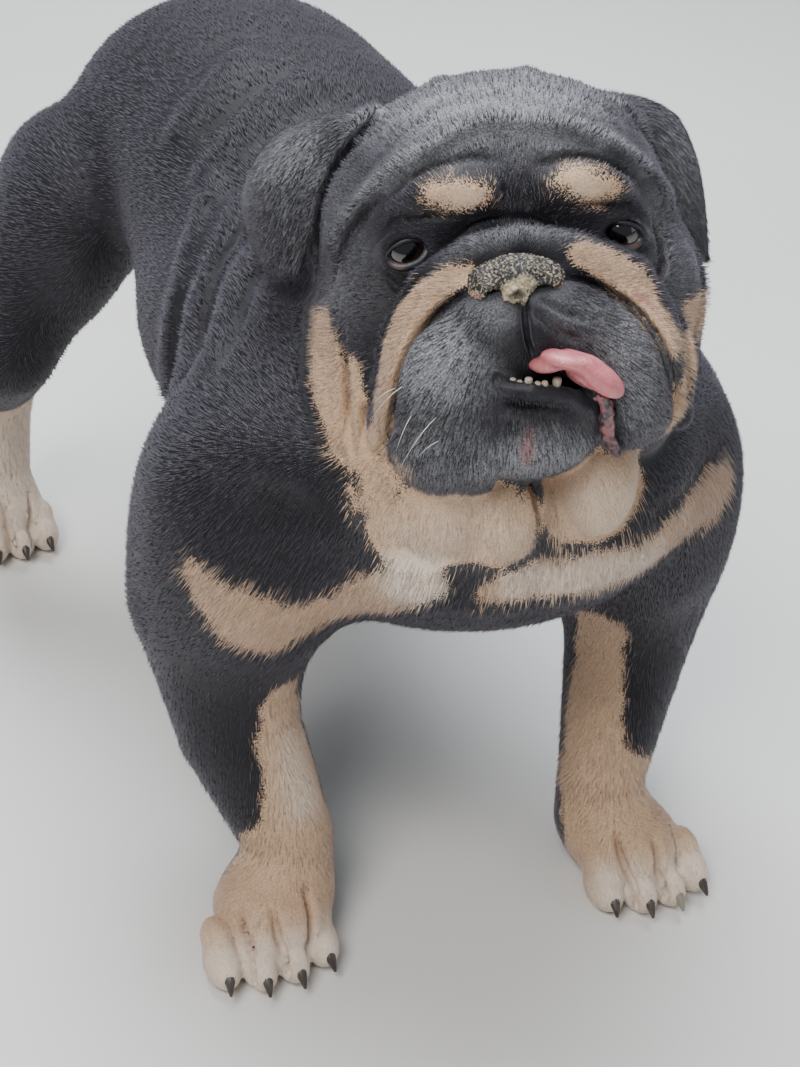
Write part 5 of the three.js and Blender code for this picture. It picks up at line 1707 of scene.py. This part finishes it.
class BULLDOG_OT_nose(bpy.types.Operator):
    """Makes the dry, crusted nose"""

    bl_idname = "bulldog.nose"
    bl_label = "Nose"

    def execute(self, context):
        lump = ball([NOSE["x"] - 2.4, NOSE["y"] - 17, NOSE["z"] - 5.0], [6.0, 4.8, 5.4], 2)
        smear = ball([NOSE["x"] + 1.6, NOSE["y"] - 15.5, NOSE["z"] - 0.8], [4.6, 3.8, 3.4], 2)
        pit = chain([(NOSE["x"] - 4.4, NOSE["y"] - 21.5, NOSE["z"] - 4.6, 0.9),
                     (NOSE["x"] - 1.2, NOSE["y"] - 21.5, NOSE["z"] - 3.4, 1.5),
                     (NOSE["x"] + 0.4, NOSE["y"] - 21, NOSE["z"] - 5.4, 0.8)])

        def field(points):
            d = blend(NOSE_FORMS, points)
            rough = 0.45 * ridges(points, 1.7, 5, 1.8)
            flakes = ridges(points + ripple(points, 3, 2)[:, None], 3.2, 9, 2.4)
            flakes = flakes * np.clip(0.7 + 0.7 * ripple(points, 12, 6), 0, 1)
            d = d - rough - 0.8 * flakes + 0.7
            uneven = 1.1 * ripple(points, 5, 7) + 0.6 * ripple(points, 2.2, 8)
            crust = melt(lump.distance(points), smear.distance(points), 2) - uneven
            crust = -melt(-crust, pit.distance(points) + 0.7 * ripple(points, 3, 4), 1)
            return melt(d, crust, 0.8)

        low, high = (-32, -62, -24), (22, -20, 10)
        vertices, quads = surface(field, head_box(low, high, 0.75), 0.0, 1)
        piece = mesh_object("nose_leather", to_row(from_head(vertices)), quads)
        crust = np.minimum(lump.distance(vertices), smear.distance(vertices))
        store(piece.data, "crust", smooth_step(2.5, 0.5, crust))
        wing = smooth_step(14, 20, np.abs(vertices[:, 0] - NOSE["x"])) * smooth_step(-8, -13, vertices[:, 2])
        store(piece.data, "rim", wing)
        pitted = pit.distance(vertices) + 0.7 * ripple(vertices, 3, 4)
        store(piece.data, "pit", smooth_step(1.4, -0.2, pitted))
        put(piece, nose_material(context.scene.bulldog_colours), ["nose"])
        return {"FINISHED"}


def horns(name, rows, sides=10):
    """Closed tapering horns, each along a line of points with radii, joined in one mesh."""
    vertices, faces, along = [], [], []
    for line in rows:
        line = np.array(line, float)
        first = len(vertices)
        for n, point in enumerate(line):
            way = line[min(n + 1, len(line) - 1), :3] - line[max(n - 1, 0), :3]
            way /= np.linalg.norm(way)
            u = np.cross(way, [1.0, 0.02, 0.03])
            u /= np.linalg.norm(u)
            v = np.cross(way, u)
            for k in range(sides):
                turn = 2 * math.pi * k / sides
                vertices.append(point[:3] + (u * math.cos(turn) + v * math.sin(turn)) * point[3])
                along.append(n / (len(line) - 1))
            if n:
                for k in range(sides):
                    a = first + n * sides + k
                    b = first + n * sides + (k + 1) % sides
                    faces.append((a - sides, a, b, b - sides))
        last = first + (len(line) - 1) * sides
        faces.append(tuple(range(first, first + sides)))
        faces.append(tuple(range(last + sides - 1, last - 1, -1)))
    piece = mesh_object(name, to_row(vertices), faces)
    outward(piece.data)
    store(piece.data, "along", along)
    return piece


class BULLDOG_OT_mouth(bpy.types.Operator):
    """Makes the tongue, the wet lip in the corner of the mouth and the lower front teeth"""

    bl_idname = "bulldog.mouth"
    bl_label = "Tongue and teeth"

    def execute(self, context):
        colours = context.scene.bulldog_colours
        groove = Fold([(3, -40, -40), (12, -60, -39), (26, -70, -44), (36, -72, -56)], 2.2, -1.3)

        def field(points):
            return fold(blend(TONGUE_FORMS, points), points, [groove])

        vertices, quads = surface(field, head_box((-16, -84, -72), (50, -26, -30), 1.1))
        piece = mesh_object("tongue_top", to_row(from_head(vertices)), quads)
        # Painted shade: the tongue darkens towards the back of the mouth and on its underside
        under = smooth_step(0.0, 2.0, blend(TONGUE_FORMS[:3], vertices))
        store(piece.data, "deep", np.maximum(smooth_step(-62, -46, vertices[:, 1]), 0.8 * under))
        put(piece, tongue_material(colours), ["tongue"])

        edge = chain([(27, -64, -60, 2.6), (31, -59, -66, 3.6), (32, -54, -74, 4), (33, -50, -83, 3.8),
                      (37, -47, -92, 3)])

        def lip_field(points):
            return edge.distance(points) + 0.9 - 1.3 * ridges(points, 4.6, 3, 1.6)

        vertices, quads = surface(lip_field, head_box((16, -74, -102), (46, -36, -50), 0.9), 0.0, 1)
        piece = mesh_object("lip_corner", to_row(from_head(vertices)), quads)
        # Painted shade: the lip corner darkens towards the inside of the mouth
        store(piece.data, "deep", smooth_step(-58, -48, vertices[:, 1]))
        put(piece, lip_material(colours))

        rows = []
        for x, tall, width, slant in TEETH:
            root = np.array([x, -59.5 + 0.033 * x * x, -53.3 - 0.2 * max(x + 3.7, 0)])
            row = []
            for t, share in ((0, 0.86), (0.3, 0.98), (0.6, 1.04), (0.84, 1.0), (0.95, 0.84), (1.0, 0.5)):
                place = root + np.array([slant * t, -1.0 * t, tall * t])
                row.append((*from_head(place), width * share))
            rows.append(row)
        put(horns("lower_teeth", rows), tooth_material(colours))
        return {"FINISHED"}


class BULLDOG_OT_claws(bpy.types.Operator):
    """Makes the sixteen claws"""

    bl_idname = "bulldog.claws"
    bl_label = "Claws"

    def execute(self, context):
        rows = []
        replaced = []
        feet = [("foreleg_" + side, FORE[side]["paw"]) for side in SIDES]
        feet += [("hindleg_" + side, HIND[side]["paw"]) for side in SIDES]
        for name, paw in feet:
            for number, i in enumerate(TOE_SPREAD):
                toe = toe_at(paw, i)
                root = np.array([toe[0], toe[1] - PAW["toe"][1] + 8, toe[2] + 3])
                row = []
                for t in (0.0, 0.25, 0.5, 0.72, 0.88, 1.0):
                    place = root + np.array([1.2 * i * t, -11.5 * t, -0.6 * t - 6.4 * t * t])
                    row.append((*place, 3.9 * (1 - 0.16 * t - 0.66 * t * t)))
                rows.append(row)
                replaced.append(f"{name}_claw_{number + 1}")
        piece = horns("claws", rows, 12)
        pale = np.zeros(len(piece.data.vertices))
        each = len(pale) // len(rows)
        pale[6 * each : 7 * each] = 0.85
        store(piece.data, "pale", pale)
        put(piece, claw_material(context.scene.bulldog_colours), replaced)
        return {"FINISHED"}


class BULLDOG_OT_whiskers(bpy.types.Operator):
    """Makes the whiskers on the muzzle, brows and cheeks"""

    bl_idname = "bulldog.whiskers"
    bl_label = "Whiskers"

    def execute(self, context):
        random = np.random.default_rng(11)
        starts = []
        for side, x in ((-1, -48), (1, 52)):
            for row in range(3):
                for column in range(5):
                    starts.append((x + side * (column * 5 - 8) + random.uniform(-1.5, 1.5),
                                   -52 - row * 11 + random.uniform(-2, 2), side, random.uniform(9, 24)))
        starts += [(side * 30, 36, side, 16.0) for side in BOTH]
        roots, _ = settle_on(face_base, [(x, -46, z) for x, z, _, _ in starts])
        rows = []
        pale = []
        for root, (_, _, side, length) in zip(roots, starts):
            way = np.array([side * 0.75, -0.45, -0.25]) + random.normal(size=3) * 0.14
            way /= np.linalg.norm(way)
            row = []
            for t in (-0.06, 0.15, 0.35, 0.55, 0.75, 0.9, 1.0):
                place = root + way * length * t + np.array([0, 0.12, -0.34]) * length * t * t
                row.append((*from_head(place), 0.17 * (1 - 0.85 * max(t, 0))))
            rows.append(row)
            pale.append(1.0 if random.random() < 0.22 else 0.0)
        piece = horns("whiskers", rows, 4)
        store(piece.data, "pale", np.repeat(pale, len(piece.data.vertices) // len(rows)))
        put(piece, whisker_material(context.scene.bulldog_colours))
        return {"FINISHED"}


class BULLDOG_OT_stage(bpy.types.Operator):
    """Sets the floor, the lights and the camera"""

    bl_idname = "bulldog.stage"
    bl_label = "Floor, lights and camera"

    def execute(self, context):
        scene = context.scene
        size = 40.0
        corners = [(-size, -size, 0), (size, -size, 0), (size, size, 0), (-size, size, 0)]
        floor = mesh_object("floor", corners, [(0, 1, 2, 3)], False)
        floor.data.materials.append(floor_material(scene.bulldog_colours))

        world = bpy.data.worlds.new("studio")
        world.use_nodes = True
        background = world.node_tree.nodes["Background"]
        background.inputs["Color"].default_value = (0.86, 0.92, 1.0, 1.0)
        background.inputs["Strength"].default_value = 0.27
        scene.world = world
        for name, place, target, across, power, tint in (
            ("key", (-1.5, -1.3, 2.6), (0.0, -0.1, 0.3), 1.3, 72.0, (1.0, 0.98, 0.95)),
            ("fill", (2.2, -1.6, 1.5), (0.0, 0.0, 0.3), 2.0, 10.0, (0.94, 0.97, 1.0)),
            ("top", (0.2, 0.9, 2.8), (0.0, 0.1, 0.3), 1.8, 120.0, (0.92, 0.96, 1.0)),
        ):
            lamp = bpy.data.lights.new(name, "AREA")
            lamp.size = across
            lamp.energy = power
            lamp.color = tint
            light = bpy.data.objects.new(name, lamp)
            light.location = place
            light.rotation_euler = (Vector(target) - Vector(place)).to_track_quat("-Z", "Y").to_euler()
            scene.collection.objects.link(light)

        data = bpy.data.cameras.new("camera")
        data.sensor_width = 36.0
        data.lens = data.sensor_width * FOCAL_PIXELS / PICTURE[1]
        data.clip_start = 0.02
        data.clip_end = 60
        camera = bpy.data.objects.new("camera", data)
        at, right, up, back = camera_place()
        turned = Matrix([right, up, back]).transposed().to_4x4()
        camera.matrix_world = Matrix.Translation(Vector(to_row(at))) @ turned
        scene.collection.objects.link(camera)
        scene.camera = camera
        return {"FINISHED"}


OPERATORS = (BULLDOG_OT_stage, BULLDOG_OT_skin, BULLDOG_OT_coat, BULLDOG_OT_eyes, BULLDOG_OT_nose,
             BULLDOG_OT_mouth,
             BULLDOG_OT_claws, BULLDOG_OT_whiskers)


class BULLDOG_PT_panel(bpy.types.Panel):
    """Lists the pieces of the model and their settings"""

    bl_idname = "BULLDOG_PT_panel"
    bl_label = "Bulldog"
    bl_space_type = "VIEW_3D"
    bl_region_type = "UI"
    bl_category = "Bulldog"

    def draw(self, context):
        layout = self.layout
        for group in (context.scene.bulldog_shape, context.scene.bulldog_coat, context.scene.bulldog_colours):
            box = layout.box()
            for name in group.__annotations__:
                box.prop(group, name)
        for operator in OPERATORS:
            layout.operator(operator.bl_idname)


CLASSES = (BulldogShape, BulldogCoat, BulldogColours, *OPERATORS, BULLDOG_PT_panel)
GROUPS = {"bulldog_shape": BulldogShape, "bulldog_coat": BulldogCoat, "bulldog_colours": BulldogColours}


def register():
    for made in CLASSES:
        bpy.utils.register_class(made)
    for name, group in GROUPS.items():
        setattr(bpy.types.Scene, name, bpy.props.PointerProperty(type=group))


def unregister():
    for name in GROUPS:
        delattr(bpy.types.Scene, name)
    for made in reversed(CLASSES):
        bpy.utils.unregister_class(made)


def main():
    register()
    bpy.ops.bulldog.stage()
    bpy.ops.bulldog.skin()
    bpy.ops.bulldog.coat()
    bpy.ops.bulldog.eyes()
    bpy.ops.bulldog.nose()
    bpy.ops.bulldog.mouth()
    bpy.ops.bulldog.claws()
    bpy.ops.bulldog.whiskers()


if __name__ == "__main__":
    main()
